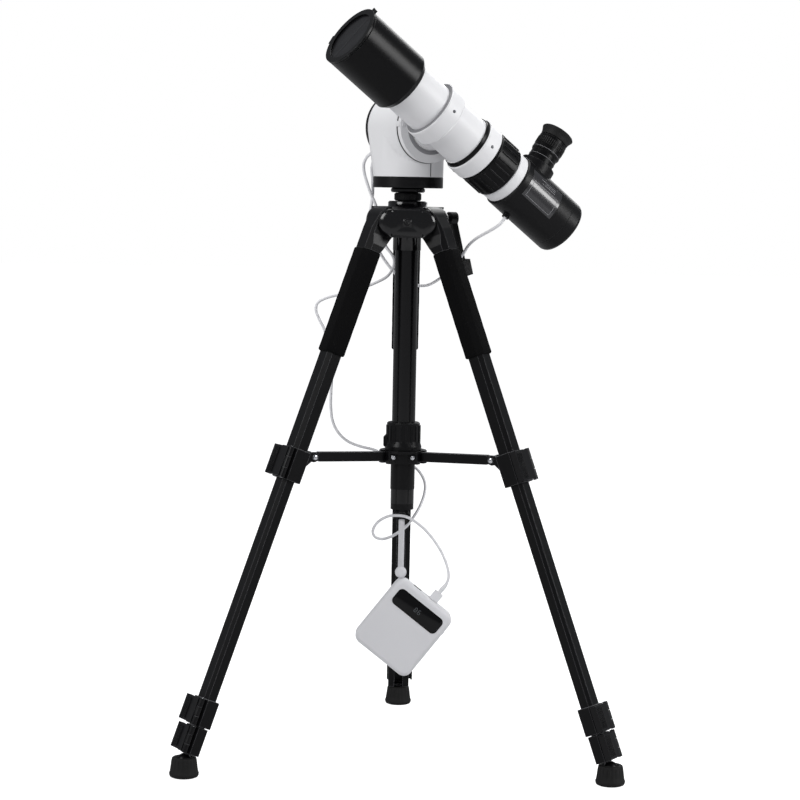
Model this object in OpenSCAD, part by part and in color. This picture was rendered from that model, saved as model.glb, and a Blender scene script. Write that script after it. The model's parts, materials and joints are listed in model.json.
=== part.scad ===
// Small refractor telescope with a camera, a motorised side-arm mount and a folding tripod.
// Millimetres, +Z up. The floor is z = 0, +X is to the right and +Y is to the back.

/* [Tripod] */
// Tilt of each leg from the vertical when open, in degrees
leg_tilt = 21.3; // [17:0.1:24]
// Leg length from the crown pin to the ball of the foot
leg_length = 564; // [470:1:680]
// Distance of a crown pin from the column axis
pin_r = 25; // [24:0.5:28]
// Distance of a leg's centre line outside its crown pin
leg_offset = 9; // [8:0.5:10]
// Outer width of the upper leg section, across the leg
leg_w = 22.4; // [21:0.2:25]
// Outer depth of the upper leg section, in the plane of its fold
leg_d = 14.5; // [14:0.5:16]
// Wall of a leg section
leg_wall = 1; // [0.8:0.1:1.2]
// Gap between one leg section and the next
leg_gap = 0.3; // [0.2:0.05:0.4]
// Width of the open channel on the inner side of each section
channel_w = 9.2; // [9:0.1:10]
// Length of the upper leg section, from the pin
upper_len = 262; // [215:1:320]
// Length of a foam grip
grip_len = 109; // [80:1:150]
// Thickness of a foam grip
grip_wall = 2.6; // [1.5:0.1:4]
// Length of the top lock casting
lock_top_len = 32; // [28:1:40]
// Length of the two bottom lock castings
lock_low_len = 27; // [24:1:32]
// Wall of a lock casting
lock_wall = 2.8; // [2.4:0.1:4]

/* [Spreader] */
// Height of a spreader arm's bar
arm_h = 9.5; // [7:0.5:11]
// Thickness of a spreader arm
arm_t = 7; // [5:0.5:7.4]
// Distance of a hub pin from the column axis
hub_pin_r = 17; // [17:0.5:20]
// Distance of an ear's rivet inside the leg's inner face
ear_reach = 11.5; // [11:0.5:13]
// Height of the twist collar above the spreader hub
collar_h = 28; // [18:1:40]

/* [Column] */
// Outer radius of the fixed guide tube
guide_r = 11.7; // [11:0.1:12]
// Wall of the guide tube
guide_wall = 1.6; // [1:0.1:2]
// Radial running clearance of sliding and turning fits
run_gap = 0.05; // [0.03:0.01:0.1]
// Length of the moving centre column below its flange
column_len = 250; // [180:5:255]
// Distance from the hub pins down to the end of the bottom fitting
fitting_drop = 54; // [40:1:80]

/* [Mount] */
// Radius of the mount's base
base_r = 34.8; // [30:0.2:40]
// Thickness of the black base disc
base_t = 11; // [8:0.5:16]
// Height of the altitude axis above the base disc
axis_h = 48.5; // [44:0.5:60]
// Radius of the housing's cross barrel
barrel_r = 35.6; // [34:0.2:38]
// Wall of the housing
housing_wall = 2.6; // [2:0.1:4]
// Radius of the round altitude plate
plate_r = 34.8; // [30:0.2:35]
// Direction that the telescope points in, from above, in degrees
azimuth = 211; // [200:1:220]
// Tilt of the telescope above the horizon, in degrees
altitude = 36; // [30:0.5:42]
// Distance of the telescope's axis from the column axis
tube_side = 77; // [74:0.5:90]

/* [Telescope] */
// Outer radius of the main tube
tube_r = 25.8; // [22:0.2:28]
// Wall of the main tube
tube_wall = 1.8; // [1:0.1:3]
// Outer radius of the hood
hood_r = 31.4; // [30.4:0.2:36]
// Length of the hood
hood_len = 72; // [50:1:90]
// Radius of the front clamp ring
ring_r = 30.4; // [29:0.2:30.4]
// Radius of the focus ring
focus_r = 29; // [28:0.2:32]
// Outer radius of the camera body
camera_r = 28.6; // [28:0.2:30]
// Length of the camera body
camera_len = 80; // [70:1:110]
// Radius of the eyepiece body
eyepiece_r = 14.8; // [14:0.1:16]
// Height of the eyepiece above the telescope's axis
eyepiece_h = 72; // [66:1:90]

/* [Power bank] */
// Width of the power bank
bank_w = 69.5; // [60:0.5:80]
// Length of the power bank
bank_h = 79.4; // [76:0.5:100]
// Thickness of the power bank
bank_t = 24; // [16:0.5:30]
// Angle that the power bank hangs at, in degrees
bank_turn = 38; // [30:1:45]

/* [Hidden] */
$fn = 64;
// the column axis lies in front of the middle of the whole object's box
stand_y = -49.8;
LEGS = [["left", 210], ["right", 330], ["rear", 90]];
FACES = [30, 150, 270];

// gap between two pieces that are fixed to each other
fit_gap = 0.02;

// leg sections, each inside the one before
step_in = leg_wall + leg_gap;
corner_cut = 4;
function sec_w(n) = leg_w - 2 * step_in * n;
function sec_d(n) = leg_d - 2 * step_in * n;
function sec_c(n) = corner_cut - 0.586 * step_in * n;
insert_len = 30;
lock_top_u = upper_len - 19;
ball_r = 7.5;
ball_z = 16;
lock_gap = 1;
neck_len = 8;
knuckle_r = 2.6;
hinge_pin_r = 1.2;
lever_gap = 0.4;
lever_t = 3.4;
lock_end_u = leg_length - neck_len;
lock_low_u = lock_end_u - lock_low_len;
lock_mid_u = lock_low_u - lock_gap - lock_low_len;
middle_top_u = upper_len - insert_len;
lower_top_u = middle_top_u + 68;
tip_top_u = lower_top_u + 30;
bracket_w = 27;
bracket_d = 16;
head_r = 15.2;
head_back_r = 12.9;
head_w = 23;
bracket_len = 34;
pin_pin_r = 3;
pivot_z = ball_z + leg_length * cos(leg_tilt) - leg_offset * sin(leg_tilt);

// ear of the top lock, in the leg's own frame
ear_x = leg_offset - leg_d / 2 - ear_reach;
ear_u = lock_top_u + 1.6;
ear_r = 5;
cheek_t = 2.4;
function leg_point_r(x, u) = pin_r + x * cos(leg_tilt) + u * sin(leg_tilt);
function leg_point_z(x, u) = pivot_z + x * sin(leg_tilt) - u * cos(leg_tilt);
ear_at_r = leg_point_r(ear_x, ear_u);
ear_at_z = leg_point_z(ear_x, ear_u);
hub_drop = 3;
hub_z = ear_at_z - hub_drop;
arm_run = ear_at_r - hub_pin_r;
arm_len = sqrt(arm_run * arm_run + hub_drop * hub_drop);
arm_slope = atan(hub_drop / arm_run);
rivet_r = 1.5;
arm_end_r = 4.2;

// heights of the stack on the column
crown_face = 34;
dome_off = 15;
panel_drop = 1;
dome_r = 15.2;
crown_low = pivot_z - dome_r;
collar_z = pivot_z + dome_r;
collar_t = 5.5;
crown_collar_r = 19.5;
bush_r = 14;
bush_h = 13;
ring_z = collar_z + collar_t;
lock_ring_r = 13.5;
lock_ring_h = 8.5;
flange_z = ring_z + lock_ring_h;
flange_t = 4.5;
flange_r = 17;
disc_z = flange_z + flange_t;
house_z = disc_z + base_t;
axis_z = house_z + axis_h;
column_r = guide_r - guide_wall - run_gap;
hub_h = 13;
// lever of the column's clamp: its shaft, reach and height over the leg pins
lock_shaft_r = 3;
lock_out = 48;
lock_up = 4;
hub_low = hub_z - 7;
hub_top = hub_low + hub_h;
hub_flange_t = 2.4;
fitting_z = hub_z - fitting_drop;
fitting_r = 12.2;
hook_r = 6.8;
hook_wire = 2.2;
hook_z = fitting_z - hook_r - 1.4;

// mount, along the altitude axis from the column axis towards the telescope
house_back = -20.5;
house_front = 35;
plate_gap = 0.5;
plate_t = 6.5;
plate_back = house_front + plate_gap;
plate_front = plate_back + plate_t;
cover_t = 10.5;
cover_r = 35;
shaft_r = 8;
rail_w = 26;
rail_back = tube_side - ring_r - 0.5;

// stations along the telescope, from the altitude axis towards the objective
hood_rear = 66;
hood_front = hood_rear + hood_len;
ring_a = 11.3;
ring_b = 29.2;
tube_rear = -22.2;
band_rear = -26.5;
ring2_rear = -43.3;
focus_front = -45.5;
focus_rear = -72.4;
ring3_rear = -84;
camera_rear = ring3_rear - camera_len;
cap_seam = camera_rear + 14;
eyepiece_at = ring3_rear - 20;

// power bank, hung by one corner under the hook
bank_r = 9;
display_w = 56;
display_h = 18.5;
display_up = 22.6;
strap_w = 6;
strap_t = 1.2;
tab_w = 4;
tab_drop = 12;
button_drop = 56.3;
button_z = hook_z - button_drop;
corner_x = -bank_w / 2 * cos(bank_turn) + bank_h / 2 * sin(bank_turn);
corner_z = bank_w / 2 * sin(bank_turn) + bank_h / 2 * cos(bank_turn);
bank_x = 3.6;
// drop of the bank's rounded corner below the middle of the snap button
corner_drop = 2.4;
bank_z = button_z - corner_z - corner_drop;
bank_y = -2;
plug_x = 6.5;
plug_len = 14;
plug_w = 9.6;
plug_t = 5;

// cables: the routes lie in the column's frame, and each is carried along by the pieces at its two ends
cable_r = 1.5;
cable_sides = 8;
POWER_TOP = [[-33, 16.5, 607], [-37, 23, 606], [-42, 30, 602], [-45, 34, 595], [-44.5, 35.5, 587],
    [-42, 35, 578], [-38, 33.5, 567], [-33, 32.5, 556]];
POWER_LOW = [[-32.85, 32.45, 555.6], [-29, 32, 544], [-26.5, 31, 531], [-24, 28, 519], [-20, 24, 511],
    [-15, 21, 505], [-12.5, 20, 499], [-13.5, 19.5, 491], [-19, 19.5, 483], [-27, 20, 478],
    [-38, 21, 473], [-54, 22, 467], [-69, 22, 463], [-81, 22, 459.5], [-89, 22, 454.5],
    [-90.5, 22, 447], [-87, 22, 438], [-81.5, 22, 427], [-76, 22, 408], [-73.5, 22, 386],
    [-74, 23, 364], [-74, 24, 349], [-72, 25, 335], [-66, 26, 323], [-56, 28, 314],
    [-43, 29, 309], [-30, 30, 306], [-19, 31, 300.5], [-9, 31.5, 294.5], [2, 31, 291.5],
    [12, 28.5, 289], [19, 26, 282], [23, 24, 273], [22.5, 21, 262], [18, 16, 250],
    [12, 12, 240], [5, 9.5, 231], [-4, 7.5, 224], [-13, 4.5, 219.5], [-21, 1, 218.5],
    [-27.5, -2, 222], [-28.5, -4.5, 229], [-23.5, -5.5, 237], [-14, -5.5, 242.5], [-5, -5, 243.5],
    [4, -5, 242.5], [13, -4.5, 238], [23, -3, 230], [32, -1, 219.8], [39.5, -1, 208.8],
    [45, -1.5, 197.5], [48, -2, 187.2], [48.3, -2, 180.2], [46, -2, 173.8], [41.9, -2, 168.65]];
CAMERA = [[-28, 19.5, 605.5], [-31.5, 25.5, 603.5], [-35.5, 32.5, 598], [-37, 37, 590],
    [-36, 39, 580], [-35.5, 39, 568], [-36.5, 38, 556], [-38, 34, 543], [-36.5, 29, 530],
    [-32, 26, 516], [-25, 27, 503], [-16, 29, 491], [-7, 30, 481.5], [4, 30, 475.5],
    [15, 31, 473.5], [24, 32, 475], [33, 31, 480.5], [42, 27, 488], [50, 20, 497],
    [56, 12, 506], [61, 3, 515], [68, -8, 522.5], [77, -18.5, 528.5], [85, -27, 533.5],
    [91.5, -32.5, 538.5], [95.2, -32.6, 543.65], [97.3, -31.35, 547.05]];

// where each cable is fixed, from the pieces that hold it
function turned_z(v, a) = [v[0] * cos(a) - v[1] * sin(a), v[0] * sin(a) + v[1] * cos(a), v[2]];
function turned_y(v, a) = [v[0] * cos(a) + v[2] * sin(a), v[1], -v[0] * sin(a) + v[2] * cos(a)];
function mount_point(v) = turned_z(v, azimuth) + [0, 0, axis_z];
function tube_point(v) = mount_point(turned_y(v, 90 - altitude) + [0, tube_side, 0]);
function bank_point(v) = turned_y(v, bank_turn) + [bank_x, bank_y, bank_z];
cover_back = house_back - cover_t;
power_from = mount_point([19.8, cover_back - 0.1, -24.4]);
camera_from = mount_point([14, cover_back - 0.1, -25.9]);
camera_to = tube_point([camera_r + 0.1, 0, eyepiece_at]);
power_join = [-33, 32.5, pivot_z + 17.8];
power_to = bank_point([plug_x, 0, bank_h / 2 + plug_len + 0.2]);

// ---- placing -------------------------------------------------------------------

module in_stand() { translate([0, stand_y, 0]) children(); }

// The leg's own frame: its crown pin is the origin, -Z runs down the leg, +X is outwards
module on_leg(turn) {
    in_stand() rotate([0, 0, turn]) translate([pin_r, 0, pivot_z]) rotate([0, -leg_tilt, 0]) children();
}

// The mount's frame: +X is the way the telescope points, +Y runs along the altitude axis
module on_mount() {
    in_stand() translate([0, 0, axis_z]) rotate([0, 0, azimuth]) children();
}

// The telescope's frame: +Z is the way it points, +Y the altitude axis, -X its upper side
module on_tube() {
    on_mount() translate([0, tube_side, 0]) rotate([0, 90 - altitude, 0]) children();
}

// The power bank's frame: +Z is its long side, +X its width, -Y its face
module on_bank() {
    in_stand() translate([bank_x, bank_y, bank_z]) rotate([0, bank_turn, 0]) children();
}

// ---- shared shapes -------------------------------------------------------------

module tube(r, bore, low, high) {
    translate([0, 0, low]) difference() {
        cylinder(r = r, h = high - low);
        translate([0, 0, -1]) cylinder(r = bore, h = high - low + 2);
    }
}

// A ring turned about Z whose outer edges are chamfered
module chamfered_ring(r, bore, low, high, cut) {
    rotate_extrude() polygon([[bore, low], [r - cut, low], [r, low + cut], [r, high - cut],
        [r - cut, high], [bore, high]]);
}

// Cross-section of a leg section: flat inside, cut corners outside
module leg_outline(w, d, cut) {
    polygon([[-d / 2, -w / 2], [d / 2 - cut, -w / 2], [d / 2, -w / 2 + cut], [d / 2, w / 2 - cut],
        [d / 2 - cut, w / 2], [-d / 2, w / 2]]);
}

// An open channel between two distances down the leg
module leg_section(n, from_u, to_u) {
    translate([leg_offset, 0, -to_u]) linear_extrude(to_u - from_u) difference() {
        leg_outline(sec_w(n), sec_d(n), sec_c(n));
        leg_outline(sec_w(n) - 2 * leg_wall, sec_d(n) - 2 * leg_wall, sec_c(n) - 0.586 * leg_wall);
        translate([-leg_d, -channel_w / 2]) square([leg_d, channel_w]);
    }
}

// Place of a lever's hinge, beside the outer face of lock n
function lock_x(n) = sec_d(n) / 2 + lock_wall;
function lock_y(n) = sec_w(n) / 2 + lock_wall;
function hinge_x(n) = leg_offset + lock_x(n) + 1.2;
function hinge_y(n) = lock_y(n) - 1;
function knuckle_len(len) = (len - 2 * lever_gap) / 3;

// A lock casting with its cavity, its two end knuckles and its hinge pin
module lock_casting(n, from_u, len, held_u) {
    difference() {
        union() {
            translate([leg_offset, 0, -from_u - len]) linear_extrude(len)
                leg_outline(2 * lock_y(n), 2 * lock_x(n), corner_cut + 1);
            translate([hinge_x(n), hinge_y(n), -from_u - len]) cylinder(r = knuckle_r, h = len);
        }
        // the section that is fixed in it
        translate([leg_offset, 0, -held_u]) linear_extrude(held_u - from_u + 1)
            leg_outline(sec_w(n), sec_d(n), sec_c(n));
        // the section that slides in it
        translate([leg_offset, 0, -from_u - len - 1]) linear_extrude(len + 2)
            leg_outline(sec_w(n + 1) + 2 * leg_gap, sec_d(n + 1) + 2 * leg_gap, sec_c(n + 1));
        // the open inner side
        translate([leg_offset - lock_x(n) - 1, -channel_w / 2, -from_u - len - 1])
            cube([lock_x(n), channel_w, len + 2]);
        // room for the lever's knuckle, and the pin's bore
        translate([hinge_x(n), hinge_y(n), -from_u - len / 2 - knuckle_len(len) / 2 - lever_gap])
            cylinder(r = knuckle_r + lever_gap, h = knuckle_len(len) + 2 * lever_gap);
        translate([hinge_x(n), hinge_y(n), -from_u - len - 1]) cylinder(r = hinge_pin_r, h = len + 2);
    }
    translate([hinge_x(n), hinge_y(n), -from_u - len]) cylinder(r = hinge_pin_r, h = len);
}

// A flip lever: a plate over the lock's outer face with one knuckle and a turned-up finger edge
module lever(n, from_u, len) {
    reach = 2 * lock_y(n) + 1;
    mid_u = from_u + len / 2;
    plate_len = len - 2;
    difference() {
        union() {
            translate([leg_offset + lock_x(n) + lever_gap, hinge_y(n) - reach, -mid_u - plate_len / 2])
                cube([lever_t, reach - knuckle_r - lever_gap, plate_len]);
            translate([leg_offset + lock_x(n) + lever_gap, hinge_y(n) - knuckle_r - 1,
                -mid_u - knuckle_len(len) / 2])
                cube([lever_t - 0.6, knuckle_r + 1, knuckle_len(len)]);
            translate([hinge_x(n), hinge_y(n), -mid_u - knuckle_len(len) / 2])
                cylinder(r = knuckle_r, h = knuckle_len(len));
            translate([leg_offset + lock_x(n) + lever_gap - 2.2, hinge_y(n) - reach - 1.8,
                -mid_u - plate_len / 2])
                cube([lever_t + 2.8, 2, plate_len]);
        }
        translate([hinge_x(n), hinge_y(n), -mid_u - len]) cylinder(r = hinge_pin_r + run_gap, h = 2 * len);
    }
}

// Sweeps a round tube along a list of points, with flat ends across the route
function unit(v) = v / norm(v);
function along(p, i) = unit(p[min(i + 1, len(p) - 1)] - p[max(i - 1, 0)]);
function sideways(t) = unit(cross(t, abs(t[1]) < 0.9 ? [0, 1, 0] : [1, 0, 0]));
function carried(p, i) = i == 0 ? sideways(along(p, 0))
    : let (before = carried(p, i - 1), t = along(p, i)) unit(before - (before * t) * t);
module cable(points, r, sides) {
    n = len(points);
    ring = [for (i = [0:n - 1]) let (t = along(points, i), a = carried(points, i), b = cross(t, a))
        for (s = [0:sides - 1]) points[i] + r * (cos(360 * s / sides) * a + sin(360 * s / sides) * b)];
    sides_faces = [for (i = [0:n - 2], s = [0:sides - 1]) let (e = (s + 1) % sides)
        [i * sides + s, i * sides + e, (i + 1) * sides + e, (i + 1) * sides + s]];
    ends = [[for (s = [sides - 1:-1:0]) s], [for (s = [0:sides - 1]) (n - 1) * sides + s]];
    polyhedron(points = ring, faces = [for (f = concat(sides_faces, ends)) [for (k = [len(f) - 1:-1:0]) f[k]]]);
}

// A route moved so that its ends lie at two points, with the points between moved in proportion
function carried_route(p, from, to) = [for (i = [0:len(p) - 1]) let (share = i / (len(p) - 1))
    p[i] + (1 - share) * (from - p[0]) + share * (to - p[len(p) - 1])];

// ---- one leg -------------------------------------------------------------------

// Upper section with its crown bracket and its top lock casting
module leg_upper(turn) {
    color("#1b1b1d") on_leg(turn) {
        leg_section(0, bracket_len - 14, upper_len);
        lock_casting(0, lock_top_u, lock_top_len, upper_len);
        ear_cheeks();
        difference() {
            bracket_shape();
            rotate([90, 0, 0]) cylinder(r = pin_pin_r + run_gap, h = 2 * bracket_w, center = true);
            translate([leg_offset, 0, -bracket_len - 1]) linear_extrude(16)
                leg_outline(leg_w, leg_d, corner_cut);
        }
    }
}

module bracket_shape() {
    outer = leg_offset + bracket_d / 2;
    intersection() {
        rotate([90, 0, 0]) linear_extrude(bracket_w, center = true) union() {
            circle(r = head_back_r);
            intersection() {
                circle(r = head_r);
                polygon([[-12, 15.6], [40, 15.6], [40, -30], [-7.5, -12], [0, 0]]);
            }
            polygon([[-4, 0], [head_r, 0], [outer, -12], [outer, -bracket_len],
                [leg_offset - bracket_d / 2, -bracket_len], [-7.5, -12]]);
        }
        translate([-2 * head_r, 0, 0]) rotate([90, 0, 90]) linear_extrude(5 * head_r)
            polygon([[-head_w / 2, 2 * head_r], [head_w / 2, 2 * head_r], [head_w / 2, -17],
                [bracket_w / 2, -27], [bracket_w / 2, -bracket_len], [-bracket_w / 2, -bracket_len],
                [-bracket_w / 2, -27], [-head_w / 2, -17]]);
        translate([leg_offset - 2 * bracket_d, 0, -bracket_len]) linear_extrude(bracket_len + 2 * head_r)
            translate([bracket_d * 1.25, 0]) leg_outline(bracket_w, bracket_d * 2.5, corner_cut + 1);
    }
}

// Two cheeks that hold the spreader arm's outer end, each with its rivet
module ear_cheeks() {
    face = leg_offset - leg_d / 2 - lock_wall;
    for (side = [-1, 1]) {
        translate([0, side * (channel_w / 2 + cheek_t / 2), 0]) rotate([90, 0, 0]) {
            difference() {
                linear_extrude(cheek_t, center = true) union() {
                    translate([ear_x, -ear_u]) circle(r = ear_r);
                    polygon([[ear_x, -ear_u + ear_r], [face + 0.5, -lock_top_u], [face + 0.5, -lock_top_u - 20],
                        [ear_x + 1, -ear_u - ear_r + 0.1]]);
                }
                translate([ear_x, -ear_u, -cheek_t]) cylinder(r = rivet_r, h = 2 * cheek_t);
            }
            translate([ear_x, -ear_u, -cheek_t / 2]) cylinder(r = rivet_r, h = cheek_t);
        }
        translate([ear_x, side * (channel_w / 2 + cheek_t + 0.5), -ear_u]) rotate([90, 0, 0])
            cylinder(r = rivet_r + 0.9, h = 1, center = true);
    }
}

module grip(turn) {
    grow = leg_w + 2 * grip_wall;
    color("#0e0e0f") on_leg(turn) translate([leg_offset, 0, -bracket_len - grip_len])
        linear_extrude(grip_len) difference() {
            leg_outline(grow, leg_d + 2 * grip_wall, corner_cut + 1.5);
            leg_outline(leg_w + 0.04, leg_d + 0.04, corner_cut);
        }
}

module leg_middle(turn) {
    color("#161618") on_leg(turn) {
        leg_section(1, middle_top_u, lock_mid_u + lock_low_len - 4);
        lock_casting(1, lock_mid_u, lock_low_len, lock_mid_u + lock_low_len - 4);
    }
}

module leg_lower(turn) {
    color("#161618") on_leg(turn) {
        leg_section(2, lower_top_u, lock_end_u - 4);
        lock_casting(2, lock_low_u, lock_low_len, lock_end_u - 4);
    }
}

// Innermost section, its end plug and the ball stud of the foot
module leg_tip(turn) {
    color("#161618") on_leg(turn) {
        leg_section(3, tip_top_u, lock_end_u - 1);
        translate([leg_offset, 0, -lock_end_u]) linear_extrude(1)
            leg_outline(sec_w(3), sec_d(3), sec_c(3));
        translate([leg_offset, 0, -leg_length]) cylinder(r = 3.4, h = neck_len);
        translate([leg_offset, 0, -leg_length]) sphere(r = ball_r);
    }
}

// Rubber foot, standing upright on the leg's ball
module foot(turn) {
    low_r = 14.5;
    top_r = 12;
    top_z = ball_z + 3.8;
    foot_r = leg_point_r(leg_offset, leg_length);
    color("#141414") in_stand() rotate([0, 0, turn]) translate([foot_r, 0, 0]) difference() {
        rotate_extrude() polygon([[0, 0], [low_r - 2.5, 0], [low_r - 0.6, 0.8], [low_r, 2.6],
            [low_r, 4.5], [top_r + 0.4, top_z - 3], [top_r - 0.6, top_z], [0, top_z]]);
        translate([0, 0, ball_z]) sphere(r = ball_r + run_gap);
        translate([0, 0, ball_z + 3]) cylinder(r = 7, h = top_z);
    }
}

module flip_lever(turn, n, from_u, len) { color("#101012") on_leg(turn) lever(n, from_u, len); }
module top_lever(turn) { flip_lever(turn, 0, lock_top_u, lock_top_len); }
module middle_lever(turn) { flip_lever(turn, 1, lock_mid_u, lock_low_len); }
module low_lever(turn) { flip_lever(turn, 2, lock_low_u, lock_low_len); }

// Spreader arm between a hub pin and a leg's ear
module arm(turn) {
    color("#141416") in_stand() rotate([0, 0, turn]) translate([hub_pin_r, 0, hub_z])
        rotate([90, -arm_slope, 0]) difference() {
            linear_extrude(arm_t, center = true) union() {
                circle(r = arm_h / 2);
                translate([0, -arm_h / 2]) square([arm_len - 8, arm_h]);
                translate([0, -arm_end_r]) square([arm_len - 1, 2 * arm_end_r]);
                translate([arm_len - 1, 0]) circle(r = arm_end_r);
            }
            translate([0, 0, -arm_t]) cylinder(r = rivet_r + run_gap, h = 2 * arm_t);
        }
}

// ---- stand ---------------------------------------------------------------------

// Casting with three pairs of domes, the three leg pins, a top collar and a bush below
module crown() {
    slot_w = head_w + 0.8;
    color("#0c0c0e") in_stand() {
        difference() {
            union() {
                translate([0, 0, crown_low + 1]) cylinder(r = 22, h = 2 * dome_r - 2);
                for (turn = FACES) rotate([0, 0, turn]) crown_face_pair();
                translate([0, 0, collar_z - 2]) chamfered_ring(crown_collar_r, 1, 0, collar_t + 2, 1.2);
                translate([0, 0, crown_low - bush_h]) cylinder(r = bush_r, h = bush_h + 2);
            }
            for (leg = LEGS) rotate([0, 0, leg[1]]) {
                translate([pin_r, 0, pivot_z]) rotate([90, 0, 0])
                    cylinder(r = head_r + 0.4, h = slot_w, center = true);
                translate([pin_r, -slot_w / 2, pivot_z - 40]) cube([60, slot_w, 80]);
                translate([pin_r - 6, -slot_w / 2, pivot_z - 40]) cube([60, slot_w, 40]);
            }
            translate([0, 0, crown_low - bush_h - 1]) cylinder(r = guide_r + fit_gap, h = 200);
        }
        for (leg = LEGS) rotate([0, 0, leg[1]]) translate([pin_r, 0, pivot_z]) rotate([90, 0, 0])
            cylinder(r = pin_pin_r, h = slot_w + 8, center = true);
    }
}

// One face of the crown: two domes with a flat panel and a screw boss between them
module crown_face_pair() {
    for (side = [-1, 1]) translate([0, side * dome_off, pivot_z]) rotate([0, 90, 0])
        rotate_extrude() polygon([[0, 8], [dome_r, 8], [dome_r, crown_face - 8], [dome_r - 0.8, crown_face - 5],
            [dome_r - 2.6, crown_face - 2.4], [dome_r - 5.5, crown_face - 0.7], [dome_r - 9, crown_face],
            [0, crown_face]]);
    translate([8, -dome_off, pivot_z - dome_r]) cube([crown_face - panel_drop - 8, 2 * dome_off, 2 * dome_r]);
    translate([8, 0, pivot_z]) rotate([0, 90, 0]) cylinder(r = 4, h = crown_face - 8.2);
}

module guide_tube() {
    color("#1a1a1c") in_stand() tube(guide_r, guide_r - guide_wall, fitting_z + 6, ring_z - 1);
}

// Plug at the foot of the guide tube, with the hook that the power bank hangs from
module bottom_fitting() {
    color("#121214") in_stand() {
        difference() {
            translate([0, 0, fitting_z]) cylinder(r = fitting_r - 0.6, h = 20);
            translate([0, 0, fitting_z + 6]) cylinder(r = guide_r, h = 60);
        }
        difference() {
            translate([0, 0, fitting_z + 20.4]) cylinder(r = fitting_r, h = hub_low - fitting_z - 20.8);
            translate([0, 0, fitting_z]) cylinder(r = guide_r, h = 80);
        }
        translate([0, 0, hook_z]) rotate([90, 90, 0]) rotate([0, 0, -10]) rotate_extrude(angle = 290)
            translate([hook_r, 0]) circle(r = hook_wire);
        translate([0, 0, hook_z + hook_r]) cylinder(r = 3, h = fitting_z - hook_z - hook_r);
    }
}

// Sliding hub with a fork and a pin for each arm
module spreader_hub() {
    block_w = 2 * 9.6;
    block_end = hub_pin_r + 5;
    color("#121214") in_stand() {
        difference() {
            union() {
                translate([0, 0, hub_low]) cylinder(r = 16, h = hub_h);
                translate([0, 0, hub_top - hub_flange_t]) cylinder(r = block_end + 1.5, h = hub_flange_t);
                for (leg = LEGS) rotate([0, 0, leg[1]]) translate([0, -block_w / 2, hub_low])
                    cube([block_end, block_w, hub_h]);
            }
            translate([0, 0, hub_low - 1]) cylinder(r = guide_r + run_gap, h = hub_h + 2);
            for (leg = LEGS) rotate([0, 0, leg[1]]) {
                translate([hub_pin_r, 0, hub_z]) rotate([90, 0, 0]) cylinder(r = rivet_r, h = 60, center = true);
                translate([hub_pin_r, 0, hub_z]) rotate([90, 0, 0])
                    cylinder(r = arm_h / 2 + 0.3, h = arm_t + 0.6, center = true);
                translate([hub_pin_r, -arm_t / 2 - 0.3, hub_z - 20]) cube([30, arm_t + 0.6, 40]);
                translate([hub_pin_r - arm_h / 2 - 0.3, -arm_t / 2 - 0.3, hub_z - 20])
                    cube([30, arm_t + 0.6, 20]);
            }
        }
        for (leg = LEGS) rotate([0, 0, leg[1]]) translate([hub_pin_r, 0, hub_z]) rotate([90, 0, 0]) {
            cylinder(r = rivet_r, h = block_w, center = true);
            for (side = [-1, 1]) translate([0, 0, side * (block_w / 2 + 0.6)])
                cylinder(r = rivet_r + 0.9, h = 1.2, center = true);
        }
    }
}

// Ribbed twist collar on top of the hub
module spreader_collar() {
    low_r = 18.4;
    top_r = 16.6;
    ribs = 18;
    color("#151517") in_stand() translate([0, 0, hub_top]) difference() {
        union() {
            rotate_extrude() polygon([[1, 0], [low_r, 0], [low_r, 4], [top_r, 9], [top_r, collar_h - 1],
                [top_r - 1, collar_h], [1, collar_h]]);
            for (k = [0:ribs - 1]) rotate([0, 0, k * 360 / ribs]) translate([top_r - 0.4, -0.8, 4])
                cube([1.2, 1.6, collar_h - 7]);
        }
        translate([0, 0, -1]) cylinder(r = guide_r + run_gap, h = collar_h + 2);
    }
}

// Moving column with the flange that carries the mount
module centre_column() {
    color("#1a1a1c") in_stand() {
        tube(column_r, column_r - 1.5, flange_z - column_len, flange_z + 1);
        translate([0, 0, flange_z]) chamfered_ring(flange_r, column_r - 1.5, 0, flange_t, 1.2);
        translate([0, 0, flange_z]) cylinder(r = 3, h = flange_t + 6);
        translate([0, 0, flange_z]) cylinder(r = column_r, h = 2);
    }
}

// Knurled ring under the flange
module lock_ring() {
    ridges = 30;
    color("#202022") in_stand() translate([0, 0, ring_z]) {
        chamfered_ring(lock_ring_r - 0.5, column_r + run_gap, 0.2, lock_ring_h - 0.2, 0.8);
        for (k = [0:ridges - 1]) rotate([0, 0, k * 360 / ridges])
            translate([lock_ring_r - 1, -0.7, 1.4]) cube([1, 1.4, lock_ring_h - 2.8]);
    }
}

// Lever that clamps the centre column, on a shaft from the crown's right rear face
module column_lock() {
    shaft_from = crown_face + 0.3;
    turn = FACES[0];
    color("#0e0e10") in_stand() {
        rotate([0, 0, turn]) translate([shaft_from, 0, pivot_z + lock_up]) rotate([0, 90, 0])
            cylinder(r = lock_shaft_r, h = lock_out - shaft_from);
        rotate([0, 0, turn]) translate([lock_out, 0, pivot_z + lock_up]) rotate([0, 90, 0])
            cylinder(r = 6.5, h = 8);
        rotate([0, 0, turn]) translate([lock_out + 4, 0, pivot_z + lock_up]) rotate([0, -15, 0]) {
            translate([-3, -4, -52]) cube([6, 8, 52]);
            translate([-4.5, -6, -60]) cube([12, 12, 16]);
        }
    }
}

// ---- mount ---------------------------------------------------------------------

module base_disc() {
    color("#151516") in_stand() difference() {
        translate([0, 0, disc_z]) chamfered_ring(base_r, 3, 0, base_t, 0.6);
        translate([0, 0, disc_z - 1]) cylinder(r = 3, h = 8);
    }
}

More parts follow.
